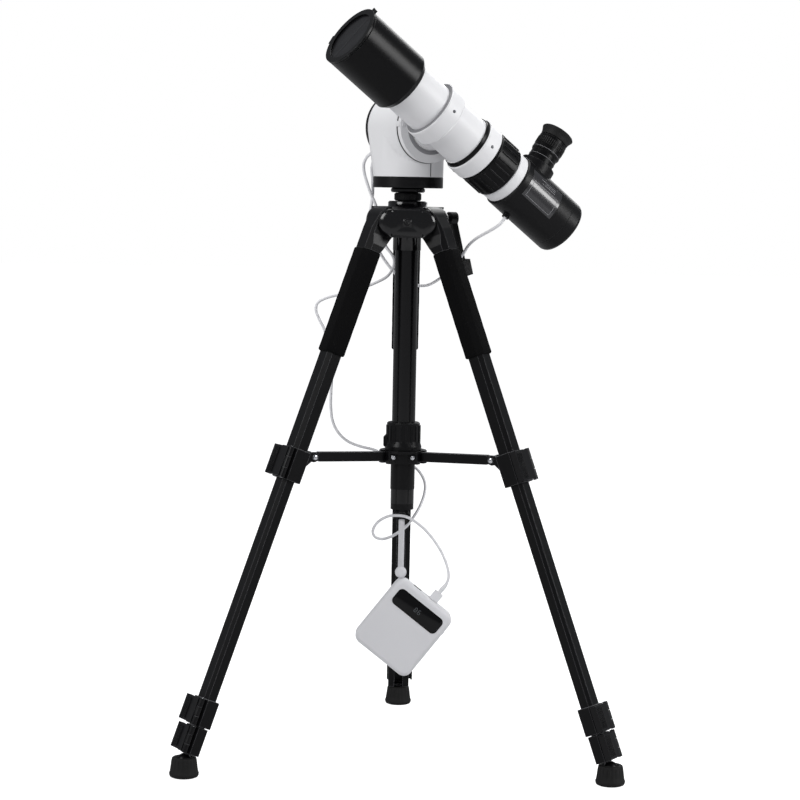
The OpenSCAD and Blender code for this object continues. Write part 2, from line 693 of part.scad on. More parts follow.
// The housing's outer form, shrunk by inset for its cavity
module house_form(inset) {
    hull() {
        translate([0, 0, house_z - axis_z + inset / 4]) cylinder(r = base_r - inset, h = 14, $fn = 72);
        rotate([90, 0, 0]) translate([0, 0, -10]) cylinder(r = barrel_r - inset, h = -house_back + 10 - inset, $fn = 96);
    }
    rotate([-90, 0, 0]) translate([0, 0, -5]) cylinder(r = barrel_r - inset, h = house_front + 5 - inset);
}

module mount_housing() {
    color("#f2f2f3") on_mount() difference() {
        house_form(0);
        house_form(housing_wall);
        // open underside and open back
        translate([0, 0, house_z - axis_z - 1]) cylinder(r = base_r - housing_wall, h = 8);
        rotate([90, 0, 0]) translate([0, 0, -house_back - 6]) cylinder(r = cover_r - 3, h = 12);
        // round seat of the rear cover
        rotate([90, 0, 0]) translate([0, 0, -house_back]) cylinder(r = cover_r + 0.2, h = 40);
        // bearing of the altitude shaft
        rotate([-90, 0, 0]) cylinder(r = shaft_r + run_gap, h = 100);
    }
}

// Black cover that closes the back of the housing
module rear_cover() {
    color("#0f0f10") on_mount() rotate([90, 0, 0]) rotate_extrude() polygon([
        [0, -house_back], [cover_r, -house_back], [cover_r, -house_back + 5.5], [cover_r - 0.8, -house_back + 6.8],
        [cover_r - 2.2, -house_back + 7.5], [cover_r - 5, -house_back + 9.9], [cover_r - 9, -house_back + cover_t],
        [0, -house_back + cover_t]]);
}

// Inside the mount: azimuth gear, two geared motors and the control board
module mount_drive() {
    low = house_z - axis_z;
    color("#b9b9bd") on_mount() {
        translate([0, 0, low + 0.2]) tube(26, 8, 0, 4);
        translate([-12, -6, low + 4.4]) cylinder(r = 8, h = 22);
        translate([8, -10, low + 4.4]) cylinder(r = 7, h = 18);
        translate([-18, -17, -14]) cube([36, 1.6, 34]);
    }
}

// Round plate, shaft and rail that turn with the telescope
module altitude_plate() {
    rail_front = 36;
    rail_rear = -20;
    color("#eeeeef") {
        on_mount() rotate([-90, 0, 0]) {
            translate([0, 0, plate_back]) cylinder(r = plate_r, h = plate_t);
            translate([0, 0, plate_front]) cylinder(r = 22, h = rail_back - plate_front);
            translate([0, 0, 12]) cylinder(r = shaft_r, h = plate_back - 12);
            translate([0, 0, 10]) cylinder(r = 20, h = 5);
        }
        on_tube() difference() {
            translate([-rail_w / 2, -tube_side + rail_back - 0.5, rail_rear])
                cube([rail_w, tube_side - rail_back - tube_r + 4.5, rail_front - rail_rear]);
            translate([0, 0, rail_rear - 1]) cylinder(r = tube_r + fit_gap, h = 200);
            translate([0, 0, ring_a - 0.1]) cylinder(r = ring_r + fit_gap, h = ring_b - ring_a + 0.2);
        }
    }
}

// ---- telescope -----------------------------------------------------------------

module main_tube() {
    color("#f4f4f5") on_tube() {
        tube(tube_r, tube_r - tube_wall, tube_rear, hood_rear + 30);
    }
}

// Clamp ring, the black band behind the tube, and the two rings around the focus ring
module tube_rings() {
    color("#f4f4f5") on_tube() {
        chamfered_ring(ring_r, tube_r + fit_gap, ring_a, ring_b, 1);
        chamfered_ring(tube_r + 1.2, tube_r - 6, band_rear, tube_rear, 0.4);
        chamfered_ring(ring_r - 0.8, tube_r - 6, ring2_rear, band_rear, 1);
        tube(tube_r - 4, tube_r - 6, ring3_rear, ring2_rear);
        chamfered_ring(27, tube_r - 4, ring3_rear, focus_rear - 0.3, 0.6);
    }
}

module focus_ring() {
    ribs = 24;
    bore = tube_r - 4 + run_gap;
    color("#131314") on_tube() {
        chamfered_ring(focus_r - 1, bore, focus_rear, focus_front, 0.8);
        for (k = [0:ribs - 1]) rotate([0, 0, k * 360 / ribs])
            translate([focus_r - 1.4, -0.7, focus_rear + 3]) cube([1.4, 1.4, focus_front - focus_rear - 6]);
    }
}

module hood() {
    color("#131314") on_tube() rotate_extrude() polygon([[tube_r + fit_gap, hood_rear], [hood_r - 3.4, hood_rear],
        [hood_r, hood_rear + 5], [hood_r, hood_front - 0.8], [hood_r - 0.8, hood_front],
        [hood_r - 2, hood_front], [hood_r - 2, hood_rear + 30], [tube_r + fit_gap, hood_rear + 30]]);
}

module objective_lens() {
    lens_z = hood_rear + 24;
    color("#9fc4d8") on_tube() intersection() {
        translate([0, 0, lens_z - 60]) sphere(r = 64);
        translate([0, 0, lens_z - 6]) cylinder(r = tube_r - tube_wall - 0.05, h = 12);
    }
}

// Push-on cap with solar film, a rim and three finger tabs
module solar_cap() {
    cap_r = hood_r - 2 - 0.1;
    depth = 8;
    color("#101011") on_tube() {
        difference() {
            union() {
                translate([0, 0, hood_front - depth]) cylinder(r = cap_r, h = depth + 0.2);
                translate([0, 0, hood_front + 0.1]) cylinder(r = hood_r + 0.2, h = 2.2);
                for (turn = [35, 155, 275]) rotate([0, 0, turn])
                    translate([hood_r - 2, -4.5, hood_front + 0.1]) cube([5, 9, 1.8]);
            }
            translate([0, 0, hood_front - depth - 1]) cylinder(r = cap_r - 3, h = depth + 2.2);
            translate([0, 0, hood_front + 0.2]) cylinder(r = cap_r - 3.6, h = 5);
        }
        translate([0, 0, hood_front - 0.8]) cylinder(r = cap_r - 3, h = 0.8);
    }
}

module camera_body() {
    wall = 2.4;
    color("#1d1d1f") on_tube() {
        difference() {
            union() {
                rotate_extrude() polygon([[0, cap_seam + 0.2], [camera_r, cap_seam + 0.2],
                    [camera_r, ring3_rear - 1], [camera_r - 1, ring3_rear], [0, ring3_rear]]);
                translate([0, 0, eyepiece_at]) rotate([0, -90, 0])
                    cylinder(r = eyepiece_r + 3, h = camera_r + 4);
            }
            translate([0, 0, cap_seam - 1]) cylinder(r = camera_r - wall, h = ring3_rear - cap_seam - 2);
            translate([0, 0, eyepiece_at]) rotate([0, -90, 0])
                cylinder(r = eyepiece_r - 1.3 + run_gap, h = 3 * camera_r);
            translate([0, 0, ring3_rear - 10]) cylinder(r = 15, h = 12);
        }
        // draw tube that slides in the focuser, and the cable's grommet
        tube(tube_r - 6 - run_gap, 17, ring3_rear - 2, ring3_rear + 24);
        translate([0, 0, eyepiece_at]) rotate([0, 90, 0]) tube(3.6, cable_r + 0.4, camera_r - 1, camera_r + 3);
        // end cap
        difference() {
            rotate_extrude() polygon([[0, camera_rear], [camera_r - 3, camera_rear],
                [camera_r - 0.8, camera_rear + 0.8], [camera_r, camera_rear + 3], [camera_r, cap_seam],
                [0, cap_seam]]);
            translate([0, 0, camera_rear + wall]) cylinder(r = camera_r - wall, h = 40);
        }
    }
}

// Inside the camera: the flip mirror, the sensor board and its stand-offs
module camera_board() {
    color("#2f6b45") on_tube() {
        translate([-17, -17, cap_seam - 3]) cube([34, 34, 1.6]);
        translate([-5, -5, cap_seam - 1.4]) cube([10, 10, 1.6]);
        for (x = [-14, 14], y = [-14, 14]) translate([x, y, camera_rear + 2.4])
            cylinder(r = 1.6, h = cap_seam - 3 - camera_rear - 2.4);
    }
}

module eyepiece() {
    barrel_end = camera_r + 5;
    color("#141415") on_tube() translate([0, 0, eyepiece_at]) rotate([0, -90, 0]) rotate_extrude() polygon([
        [9, camera_r - 6], [eyepiece_r - 1.3, camera_r - 6], [eyepiece_r - 1.3, barrel_end],
        [eyepiece_r - 1, barrel_end], [eyepiece_r - 1, barrel_end + 11], [eyepiece_r, barrel_end + 12.5],
        [eyepiece_r, eyepiece_h - 10], [eyepiece_r - 2, eyepiece_h - 9], [eyepiece_r - 2, eyepiece_h - 3],
        [9, eyepiece_h - 3]]);
}

module eyecup() {
    bore = eyepiece_r - 2 + fit_gap;
    color("#0c0c0d") on_tube() translate([0, 0, eyepiece_at]) rotate([0, -90, 0]) rotate_extrude() polygon([
        [bore, eyepiece_h - 9], [eyepiece_r - 0.4, eyepiece_h - 9], [eyepiece_r + 0.4, eyepiece_h - 5],
        [eyepiece_r + 2.2, eyepiece_h - 0.8], [eyepiece_r + 1.6, eyepiece_h], [bore, eyepiece_h - 2.6]]);
}

// ---- power bank and its strap ---------------------------------------------------

module bank_outline(grow) {
    for (x = [-1, 1], z = [-1, 1])
        translate([x * (bank_w / 2 - bank_r), z * (bank_h / 2 - bank_r)]) circle(r = bank_r + grow);
    square([bank_w - 2 * bank_r, bank_h + 2 * grow], center = true);
    square([bank_w + 2 * grow, bank_h - 2 * bank_r], center = true);
}

module bank_window(grow) {
    r = 5;
    for (x = [-1, 1], z = [-1, 1])
        translate([x * (display_w / 2 - r), z * (display_h / 2 - r)]) circle(r = r + grow);
    square([display_w - 2 * r, display_h + 2 * grow], center = true);
    square([display_w + 2 * grow, display_h - 2 * r], center = true);
}

module power_bank() {
    edge = 2;
    color("#e9e9ea") difference() {
        on_bank() {
            rotate([90, 0, 0]) {
                linear_extrude(bank_t - 2 * edge, center = true) bank_outline(0);
                linear_extrude(bank_t - edge, center = true) bank_outline(-0.6);
                linear_extrude(bank_t, center = true) bank_outline(-edge);
            }
            // power button
            translate([bank_w / 2 - 2, 0, 20]) rotate([0, 90, 0]) cylinder(r = 3, h = 2.7);
        }
        on_bank() {
            translate([0, -bank_t / 2 + 1, display_up]) rotate([90, 0, 0]) linear_extrude(2) bank_window(0);
            translate([plug_x - plug_w / 2, -plug_t / 2, bank_h / 2 - 10]) cube([plug_w, plug_t, 20]);
            translate([plug_x - 20 - plug_w / 2, -plug_t / 2, bank_h / 2 - 3]) cube([plug_w, plug_t, 20]);
        }
        // slot of the strap's end
        in_stand() translate([-tab_w / 2 - 0.3, -strap_t / 2 - 0.3, button_z - tab_drop - 0.5])
            cube([tab_w + 0.6, strap_t + 0.6, tab_drop]);
    }
}

module bank_display() {
    color("#0a0a0c") on_bank() translate([0, -bank_t / 2 + 1, display_up]) rotate([90, 0, 0])
        linear_extrude(0.9) bank_window(-0.05);
}

// Plug of the power cable, pushed into the power bank's top
module usb_plug() {
    color("#f0f0f0") on_bank() translate([plug_x, 0, bank_h / 2]) {
        translate([-plug_w / 2 + 1.4, -1.3, -8]) cube([plug_w - 2.8, 2.6, 8.3]);
        translate([-plug_w / 2, -plug_t / 2, 0.1]) cube([plug_w, plug_t, plug_len - 4]);
        translate([0, 0, plug_len - 3.9]) cylinder(r = 2.2, h = 4);
    }
}

// Lanyard: two strands over the hook, a snap button, and a tab in the bank's corner
module strap() {
    spread = hook_wire + strap_t / 2 + 1.1;
    top = hook_z - hook_r;
    over = spread + strap_t / 2;
    under = spread - strap_t / 2;
    foot = button_z + 1;
    foot_gap = 0.3;
    color("#f3f3f3") in_stand() {
        rotate([90, 0, 90]) linear_extrude(strap_w, center = true) polygon(concat(
            [for (a = [0:15:180]) [over * cos(a), top + over * sin(a)]],
            [[-foot_gap - strap_t, foot], [-foot_gap, foot]],
            [for (a = [180:-15:0]) [under * cos(a), top + under * sin(a)]],
            [[foot_gap, foot], [foot_gap + strap_t, foot]]));
        translate([0, 0, button_z]) rotate([90, 0, 0]) cylinder(r = 5.8, h = 5, center = true);
        translate([-tab_w / 2, -strap_t / 2, button_z - tab_drop]) cube([tab_w, strap_t, tab_drop]);
    }
}

module power_cable_top() {
    color("#f4f4f4") in_stand() cable(carried_route(POWER_TOP, power_from, power_join), cable_r, cable_sides);
}

module power_cable_low() {
    from = power_join + [0.15, -0.05, -0.4];
    color("#f4f4f4") in_stand() cable(carried_route(POWER_LOW, from, power_to), cable_r, cable_sides);
}

module camera_cable() {
    color("#f4f4f4") in_stand() cable(carried_route(CAMERA, camera_from, camera_to), cable_r, cable_sides);
}

// ---- nodes ----------------------------------------------------------------------

for (leg = LEGS) {
    leg_upper(leg[1]);
    grip(leg[1]);
    top_lever(leg[1]);
    leg_middle(leg[1]);
    middle_lever(leg[1]);
    leg_lower(leg[1]);
    low_lever(leg[1]);
    leg_tip(leg[1]);
    foot(leg[1]);
    arm(leg[1]);
}
crown();
guide_tube();
bottom_fitting();
spreader_hub();
spreader_collar();
centre_column();
lock_ring();
column_lock();
base_disc();
mount_housing();
rear_cover();
mount_drive();
altitude_plate();
main_tube();
tube_rings();
hood();
objective_lens();
solar_cap();
focus_ring();
camera_body();
camera_board();
eyepiece();
eyecup();
power_bank();
bank_display();
strap();
usb_plug();
power_cable_top();
power_cable_low();
camera_cable();
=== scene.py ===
"""Looks of a small refractor telescope on a folding tripod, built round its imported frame.
Metres, +Z up. The floor is z = 0, and the telescope is seen from the -Y side."""

import json
import math

import bmesh
import bpy
from mathutils import Matrix, Vector


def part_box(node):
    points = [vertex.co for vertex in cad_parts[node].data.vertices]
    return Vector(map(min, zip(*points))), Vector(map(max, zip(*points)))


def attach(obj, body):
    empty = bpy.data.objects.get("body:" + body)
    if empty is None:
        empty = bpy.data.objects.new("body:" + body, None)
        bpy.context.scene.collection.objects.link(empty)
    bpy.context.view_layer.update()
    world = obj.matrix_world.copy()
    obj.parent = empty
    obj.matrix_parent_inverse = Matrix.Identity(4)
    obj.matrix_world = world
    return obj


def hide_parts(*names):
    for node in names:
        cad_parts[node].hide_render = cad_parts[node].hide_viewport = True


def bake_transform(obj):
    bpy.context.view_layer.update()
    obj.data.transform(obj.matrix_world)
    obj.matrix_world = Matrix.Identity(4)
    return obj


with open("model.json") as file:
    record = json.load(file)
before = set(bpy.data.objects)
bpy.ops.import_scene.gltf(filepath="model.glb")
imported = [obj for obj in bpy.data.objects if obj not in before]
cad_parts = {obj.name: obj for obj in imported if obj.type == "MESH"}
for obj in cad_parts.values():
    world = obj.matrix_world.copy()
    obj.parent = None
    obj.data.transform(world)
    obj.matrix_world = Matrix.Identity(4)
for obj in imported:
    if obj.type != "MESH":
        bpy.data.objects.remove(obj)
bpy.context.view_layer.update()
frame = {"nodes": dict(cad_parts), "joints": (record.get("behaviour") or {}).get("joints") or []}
nodes = frame["nodes"]
joints = {joint["name"]: joint for joint in frame["joints"]}
scene = bpy.context.scene
SIDES = ("left", "right", "rear")
UP = Vector((0, 0, 1))

# ---- Camera ----
# A long lens well in front of the tripod, level with the mount and tipped down a little.
CAMERA_PLACE = (-0.004, -2.4998, 0.5745)
CAMERA_PITCH_DOWN = 5.01
CAMERA_ROLL = 1.08
lens = bpy.data.cameras.new("studio_camera")
lens.lens = 110.25
lens.sensor_width = 36.0
lens.clip_end = 60.0
camera = bpy.data.objects.new("studio_camera", lens)
scene.collection.objects.link(camera)
camera.matrix_world = (
    Matrix.Translation(CAMERA_PLACE)
    @ Matrix.Rotation(math.radians(90 - CAMERA_PITCH_DOWN), 4, "X")
    @ Matrix.Rotation(math.radians(CAMERA_ROLL), 4, "Z")
)
scene.camera = camera

# ---- Cables ----
# Three lengths of 3 mm white cable with a soft moulded jacket. The power cable runs from the back of the
# mount down to the power bank in two stretches that meet behind the crown, and the camera's cable runs
# from the same place, under the crown, up to the grommet below the camera.
CABLE_R = 0.0015
COLUMN = Vector(joints["azimuth_turn"]["pos_m"]) * Vector((1, 1, 0))
POWER_TOP = [
    (-0.033, 0.0165, 0.607), (-0.037, 0.023, 0.606), (-0.042, 0.03, 0.602), (-0.045, 0.034, 0.595),
    (-0.0445, 0.0355, 0.587), (-0.042, 0.035, 0.578), (-0.038, 0.0335, 0.567), (-0.033, 0.0325, 0.556),
]
POWER_LOW = [
    (-0.03285, 0.03245, 0.5556), (-0.029, 0.032, 0.544), (-0.0265, 0.031, 0.531),
    (-0.024, 0.028, 0.519), (-0.02, 0.024, 0.511), (-0.015, 0.021, 0.505), (-0.0125, 0.02, 0.499),
    (-0.0135, 0.0195, 0.491), (-0.019, 0.0195, 0.483), (-0.027, 0.02, 0.478), (-0.038, 0.021, 0.473),
    (-0.054, 0.022, 0.467), (-0.069, 0.022, 0.463), (-0.081, 0.022, 0.4595), (-0.089, 0.022, 0.4545),
    (-0.0905, 0.022, 0.447), (-0.087, 0.022, 0.438), (-0.0815, 0.022, 0.427), (-0.076, 0.022, 0.408),
    (-0.0735, 0.022, 0.386), (-0.074, 0.023, 0.364), (-0.074, 0.024, 0.349), (-0.072, 0.025, 0.335),
    (-0.066, 0.026, 0.323), (-0.056, 0.028, 0.314), (-0.043, 0.029, 0.309), (-0.03, 0.03, 0.306),
    (-0.019, 0.031, 0.3005), (-0.009, 0.0315, 0.2945), (0.002, 0.031, 0.2915), (0.012, 0.0285, 0.289),
    (0.019, 0.026, 0.282), (0.023, 0.024, 0.273), (0.0225, 0.021, 0.262), (0.018, 0.016, 0.25),
    (0.012, 0.012, 0.24), (0.005, 0.0095, 0.231), (-0.004, 0.0075, 0.224), (-0.013, 0.0045, 0.2195),
    (-0.021, 0.001, 0.2185), (-0.0275, -0.002, 0.222), (-0.0285, -0.0045, 0.229),
    (-0.0235, -0.0055, 0.237), (-0.014, -0.0055, 0.2425), (-0.005, -0.005, 0.2435),
    (0.004, -0.005, 0.2425), (0.013, -0.0045, 0.238), (0.023, -0.003, 0.23), (0.032, -0.001, 0.2198),
    (0.0395, -0.001, 0.2088), (0.045, -0.0015, 0.1975), (0.048, -0.002, 0.1872),
    (0.0483, -0.002, 0.1802), (0.046, -0.002, 0.1738), (0.0419, -0.002, 0.16865),
]
CAMERA_ROUTE = [
    (-0.028, 0.0195, 0.6055), (-0.0315, 0.0255, 0.6035), (-0.0355, 0.0325, 0.598),
    (-0.037, 0.037, 0.59), (-0.036, 0.039, 0.58), (-0.0355, 0.039, 0.568), (-0.0365, 0.038, 0.556),
    (-0.038, 0.034, 0.543), (-0.0365, 0.029, 0.53), (-0.032, 0.026, 0.516), (-0.025, 0.027, 0.503),
    (-0.016, 0.029, 0.491), (-0.007, 0.03, 0.4815), (0.004, 0.03, 0.4755), (0.015, 0.031, 0.4735),
    (0.024, 0.032, 0.475), (0.033, 0.031, 0.4805), (0.042, 0.027, 0.488), (0.05, 0.02, 0.497),
    (0.056, 0.012, 0.506), (0.061, 0.003, 0.515), (0.068, -0.008, 0.5225), (0.077, -0.0185, 0.5285),
    (0.085, -0.027, 0.5335), (0.0915, -0.0325, 0.5385), (0.0952, -0.0326, 0.54365),
    (0.0973, -0.03135, 0.54705),
]


def new_group(name, kind, inputs, outputs):
    """A new node group. Each socket is given by its name, with its kind or the value it starts with."""
    group = bpy.data.node_groups.new(name, kind)
    for way, sockets in (("INPUT", inputs), ("OUTPUT", outputs)):
        for label, start in sockets.items():
            bare = isinstance(start, str)
            holds = start if bare else {int: "Int", float: "Float", tuple: "Vector"}[type(start)]
            socket = group.interface.new_socket(label, in_out=way, socket_type="NodeSocket" + holds)
            if not bare:
                socket.default_value = start
    return group, group.nodes.new("NodeGroupInput"), group.nodes.new("NodeGroupOutput")


def wire(tree, node, inputs):
    """Sets a node's inputs, each given as a socket to link or as a plain value."""
    for key, value in inputs.items():
        if isinstance(value, bpy.types.NodeSocket):
            tree.links.new(value, node.inputs[key])
        else:
            node.inputs[key].default_value = value
    return node


def add_node(tree, kind, inputs=None, **settings):
    """A new node with its own settings and its inputs."""
    node = tree.nodes.new(kind)
    for name, value in settings.items():
        setattr(node, name, value)
    return wire(tree, node, inputs or {})


def math_node(tree, operation, first, second):
    """The result of a Math node whose two inputs are sockets or numbers."""
    return add_node(tree, "ShaderNodeMath", {0: first, 1: second}, operation=operation).outputs[0]


def noise_node(tree, place, scale, detail):
    """The result of a Noise Texture."""
    inputs = {"Detail": detail, "Vector": place, "Scale": scale}
    return add_node(tree, "ShaderNodeTexNoise", inputs).outputs["Fac"]


def mix_node(tree, first, second, share):
    """The result of a mix of two colours."""
    node = tree.nodes.new("ShaderNodeMix")
    node.data_type = "RGBA"
    return wire(tree, node, {"A": first, "B": second, "Factor": share}).outputs["Result"]


def new_material(name):
    """A new material, its tree and its shader."""
    material = bpy.data.materials.new(name)
    material.use_nodes = True
    return material, material.node_tree, material.node_tree.nodes["Principled BSDF"]


def object_place(tree):
    """The place of a point of the surface in the object's own frame."""
    return tree.nodes.new("ShaderNodeTexCoord").outputs["Object"]


def raised(place, z):
    """A frame moved along its own Z axis."""
    return place @ Matrix.Translation((0, 0, z))


def axes_frame(x, y, z):
    """A turn that takes X, Y and Z to three directions."""
    return Matrix((x, y, z)).transposed().to_4x4()


SPECK_SCALE = 2600.0
SPECK_LEVEL = 0.70
EDGE_LEAN = 5.0


def make_grain():
    """Skin of a moulded or painted surface: fine grain as its height, slow mottling and dust as its tone."""
    group, given, result = new_group(
        "surface_grain", "ShaderNodeTree", {"Grain Scale": 900.0, "Mottle Scale": 14.0, "Dust": 0.2},
        {"Height": "Float", "Tone": "Float", "Dust": "Float"},
    )
    place = object_place(group)
    height = noise_node(group, place, given.outputs["Grain Scale"], 3.0)
    tone = noise_node(group, place, given.outputs["Mottle Scale"], 4.0)
    specks = noise_node(group, place, SPECK_SCALE, 2.0)
    sharp = math_node(group, "GREATER_THAN", specks, SPECK_LEVEL)
    dust = math_node(group, "MULTIPLY", sharp, given.outputs["Dust"])
    wire(group, result, {"Height": height, "Tone": tone, "Dust": dust})
    return group


def make_edges():
    """Rounded edges and a painted highlight along them, from how far the rounded normal leans off the face.
    """
    group, given, result = new_group(
        "rounded_edges", "ShaderNodeTree", {"Radius": 0.0006, "Edge Highlight": 0.3},
        {"Normal": "Vector", "Edge Highlight": "Float"},
    )
    bevel = add_node(group, "ShaderNodeBevel", {"Radius": given.outputs["Radius"]}, samples=4)
    face = group.nodes.new("ShaderNodeNewGeometry").outputs["Normal"]
    dot = add_node(
        group, "ShaderNodeVectorMath", {0: bevel.outputs["Normal"], 1: face}, operation="DOT_PRODUCT",
    )
    lean = math_node(group, "SUBTRACT", 1.0, dot.outputs["Value"])
    spread = math_node(group, "MULTIPLY", lean, EDGE_LEAN)
    limited = math_node(group, "MINIMUM", spread, 1.0)
    # how strongly the painted edge highlight shows
    edge_highlight = math_node(group, "MULTIPLY", limited, given.outputs["Edge Highlight"])
    wire(group, result, {"Normal": bevel.outputs["Normal"], "Edge Highlight": edge_highlight})
    return group


GRAIN = make_grain()
EDGES = make_edges()


def finish_of(name, color, rough, grain=900.0, depth=0.00003, radius=0.0006, edge_highlight=0.25, highlight_and_dust_color=None,
              mottle=0.12, mottle_scale=14.0, dust=0.15, shine=0.5, **constants):
    """A material with grain, mottling, specks of dust and rounded edges with a painted highlight along them.
    The constants are the shader's own sockets, written with underscores for spaces."""
    material, tree, shader = new_material(name)
    skin = add_node(tree, "ShaderNodeGroup", node_tree=GRAIN)
    wire(tree, skin, {"Grain Scale": grain, "Mottle Scale": mottle_scale, "Dust": dust})
    edges = wire(tree, add_node(tree, "ShaderNodeGroup", node_tree=EDGES), {"Radius": radius, "Edge Highlight": edge_highlight})
    tones = [(*[min(1, c * (1 + way * mottle)) for c in color], 1) for way in (-1, 1)]
    ramp = mix_node(tree, tones[0], tones[1], skin.outputs["Tone"])
    # one lighter colour for the painted edge highlight and for the specks of dust, mixed in where either is
    # stronger
    bare = (*(highlight_and_dust_color or [min(1, c * 1.8 + 0.03) for c in color]), 1)
    dust_and_highlight_share = math_node(tree, "MAXIMUM", edges.outputs["Edge Highlight"], skin.outputs["Dust"])
    rough_range = {"To Min": rough * 0.85, "To Max": min(1, rough * 1.15), "Value": skin.outputs["Tone"]}
    spread = add_node(tree, "ShaderNodeMapRange", rough_range)
    bump = add_node(tree, "ShaderNodeBump", {"Distance": depth, "Height": skin.outputs["Height"],
                                             "Normal": edges.outputs["Normal"]})
    wire(tree, shader, {
        "Base Color": mix_node(tree, ramp, bare, dust_and_highlight_share), "Roughness": spread.outputs["Result"],
        "Normal": bump.outputs["Normal"], "Specular IOR Level": shine,
        **{socket.replace("_", " "): value for socket, value in constants.items()},
    })
    return material


def piece_of(name, mesh, material, body, slot, *replaced, smooth=40):
    """A finished piece at the origin: its mesh, its material, the body it moves with and its slot, which is
    not used.
    """
    if isinstance(mesh, bmesh.types.BMesh):
        bmesh.ops.remove_doubles(mesh, verts=mesh.verts, dist=1e-6)
        bmesh.ops.recalc_face_normals(mesh, faces=mesh.faces)
        made = bpy.data.meshes.new(name)
        mesh.to_mesh(made)
        mesh.free()
        mesh = made
    if smooth:
        mesh.shade_smooth()
        mesh.set_sharp_from_angle(angle=math.radians(smooth))
    mesh.materials.clear()
    mesh.materials.append(material)
    piece = bpy.data.objects.new(name, mesh)
    scene.collection.objects.link(piece)
    if body:
        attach(piece, body)
    if replaced:
        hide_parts(*replaced)
    return piece


ROUTE_STEPS = 6


def smooth_route(points):
    """Points along a curve through the route, and the curve's direction at each."""
    knots = [2 * points[0] - points[1], *points, 2 * points[-1] - points[-2]]
    path, ways = [], []
    for k in range(1, len(knots) - 2):
        before, start, end, after = knots[k - 1 : k + 3]
        last = k == len(knots) - 3
        for s in range(ROUTE_STEPS + last):
            t = s / ROUTE_STEPS
            curve = 2 * before - 5 * start + 4 * end - after
            bend = 3 * start - before - 3 * end + after
            path.append(0.5 * (2 * start + (end - before) * t + curve * t**2 + bend * t**3))
            ways.append((0.5 * ((end - before) + 2 * curve * t + 3 * bend * t**2)).normalized())
    return path, ways


def skinned(rings, ring_shape=False):
    """A closed surface through rings of points. A ring shape joins the last ring to the first."""
    skin = bmesh.new()
    made = [[skin.verts.new(point) for point in ring] for ring in rings]
    for first, second in zip(made, made[1:] + made[:ring_shape]):
        for k in range(len(first)):
            after = (k + 1) % len(first)
            skin.faces.new((first[k], first[after], second[after], second[k]))
    if not ring_shape:
        skin.faces.new(made[0][::-1])
        skin.faces.new(made[-1])
    return skin


def swept_tube(path, ways, radii, sides=12):
    """A closed tube along a path, square across its direction, with a radius for each point."""
    across = ways[0].orthogonal().normalized()
    rings = []
    for point, way, radius in zip(path, ways, radii):
        across = (across - across.dot(way) * way).normalized()
        other = way.cross(across)
        rings.append([point + radius * (math.cos(a) * across + math.sin(a) * other)
                      for a in (math.tau * s / sides for s in range(sides))])
    return skinned(rings)


jacket = finish_of(
    "cable_jacket", (0.80, 0.80, 0.82), 0.42, grain=1500.0, depth=0.00002, radius=0.0002, edge_highlight=0.0,
    mottle=0.04, mottle_scale=30.0, dust=0.05,
)
power_points = [Vector(p) + COLUMN for p in POWER_TOP[:-1] + POWER_LOW]
power_path, power_ways = smooth_route(power_points)
meeting = ROUTE_STEPS * (len(POWER_TOP) - 1)
camera_path, camera_ways = smooth_route([Vector(p) + COLUMN for p in CAMERA_ROUTE])


def cable_piece(name, path, ways):
    """One stretch of cable along a path."""
    tube = swept_tube(path, ways, [CABLE_R] * len(path))
    piece = piece_of(name, tube, jacket, None, "cable_white", name)
    piece.name = name + "_jacket"
    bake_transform(piece)
    return piece


top_cable = cable_piece("power_cable_top", power_path[: meeting + 1], power_ways[: meeting + 1])
low_cable = cable_piece("power_cable_low", power_path[meeting:], power_ways[meeting:])
camera_cable = cable_piece("camera_cable", camera_path, camera_ways)

# ---- Studio ----
# A pale floor and four large soft lamps, with a white surround that is dimmer for what it lights.
floor_mesh = bpy.data.meshes.new("studio_floor")
FLOOR_R = 14.0
FLOOR_GLOW = 0.16
FLOOR_SEEN_GLOW = 0.80
floor_mesh.from_pydata([(x * FLOOR_R, y * FLOOR_R, 0) for x, y in ((-1, -1), (1, -1), (1, 1), (-1, 1))], [],
                       [(0, 1, 2, 3)])
floor = bpy.data.objects.new("studio_floor", floor_mesh)
scene.collection.objects.link(floor)
floor_white, floor_tree, floor_shader = new_material("floor_white")
floor_seen = floor_tree.nodes.new("ShaderNodeLightPath").outputs["Is Camera Ray"]
floor_glow = math_node(
    floor_tree, "ADD", math_node(floor_tree, "MULTIPLY", floor_seen, FLOOR_SEEN_GLOW), FLOOR_GLOW,
)
wire(floor_tree, floor_shader, {"Base Color": (0.40, 0.40, 0.41, 1), "Roughness": 0.8,
                                "Emission Color": (1, 1, 1, 1), "Emission Strength": floor_glow})
floor_mesh.materials.append(floor_white)

world = bpy.data.worlds.new("studio_surround")
scene.world = world
world.use_nodes = True
sky = world.node_tree
surround = wire(sky, sky.nodes["Background"], {"Color": (0.93, 0.95, 1.0, 1), "Strength": 0.25})
backdrop = add_node(sky, "ShaderNodeBackground", {"Color": (1, 1, 1, 1), "Strength": 1.0})
seen = sky.nodes.new("ShaderNodeLightPath").outputs["Is Camera Ray"]
either = add_node(sky, "ShaderNodeMixShader", {"Fac": seen, 1: surround.outputs[0], 2: backdrop.outputs[0]})
wire(sky, sky.nodes["World Output"], {"Surface": either.outputs["Shader"]})
scene.view_settings.view_transform = "Standard"

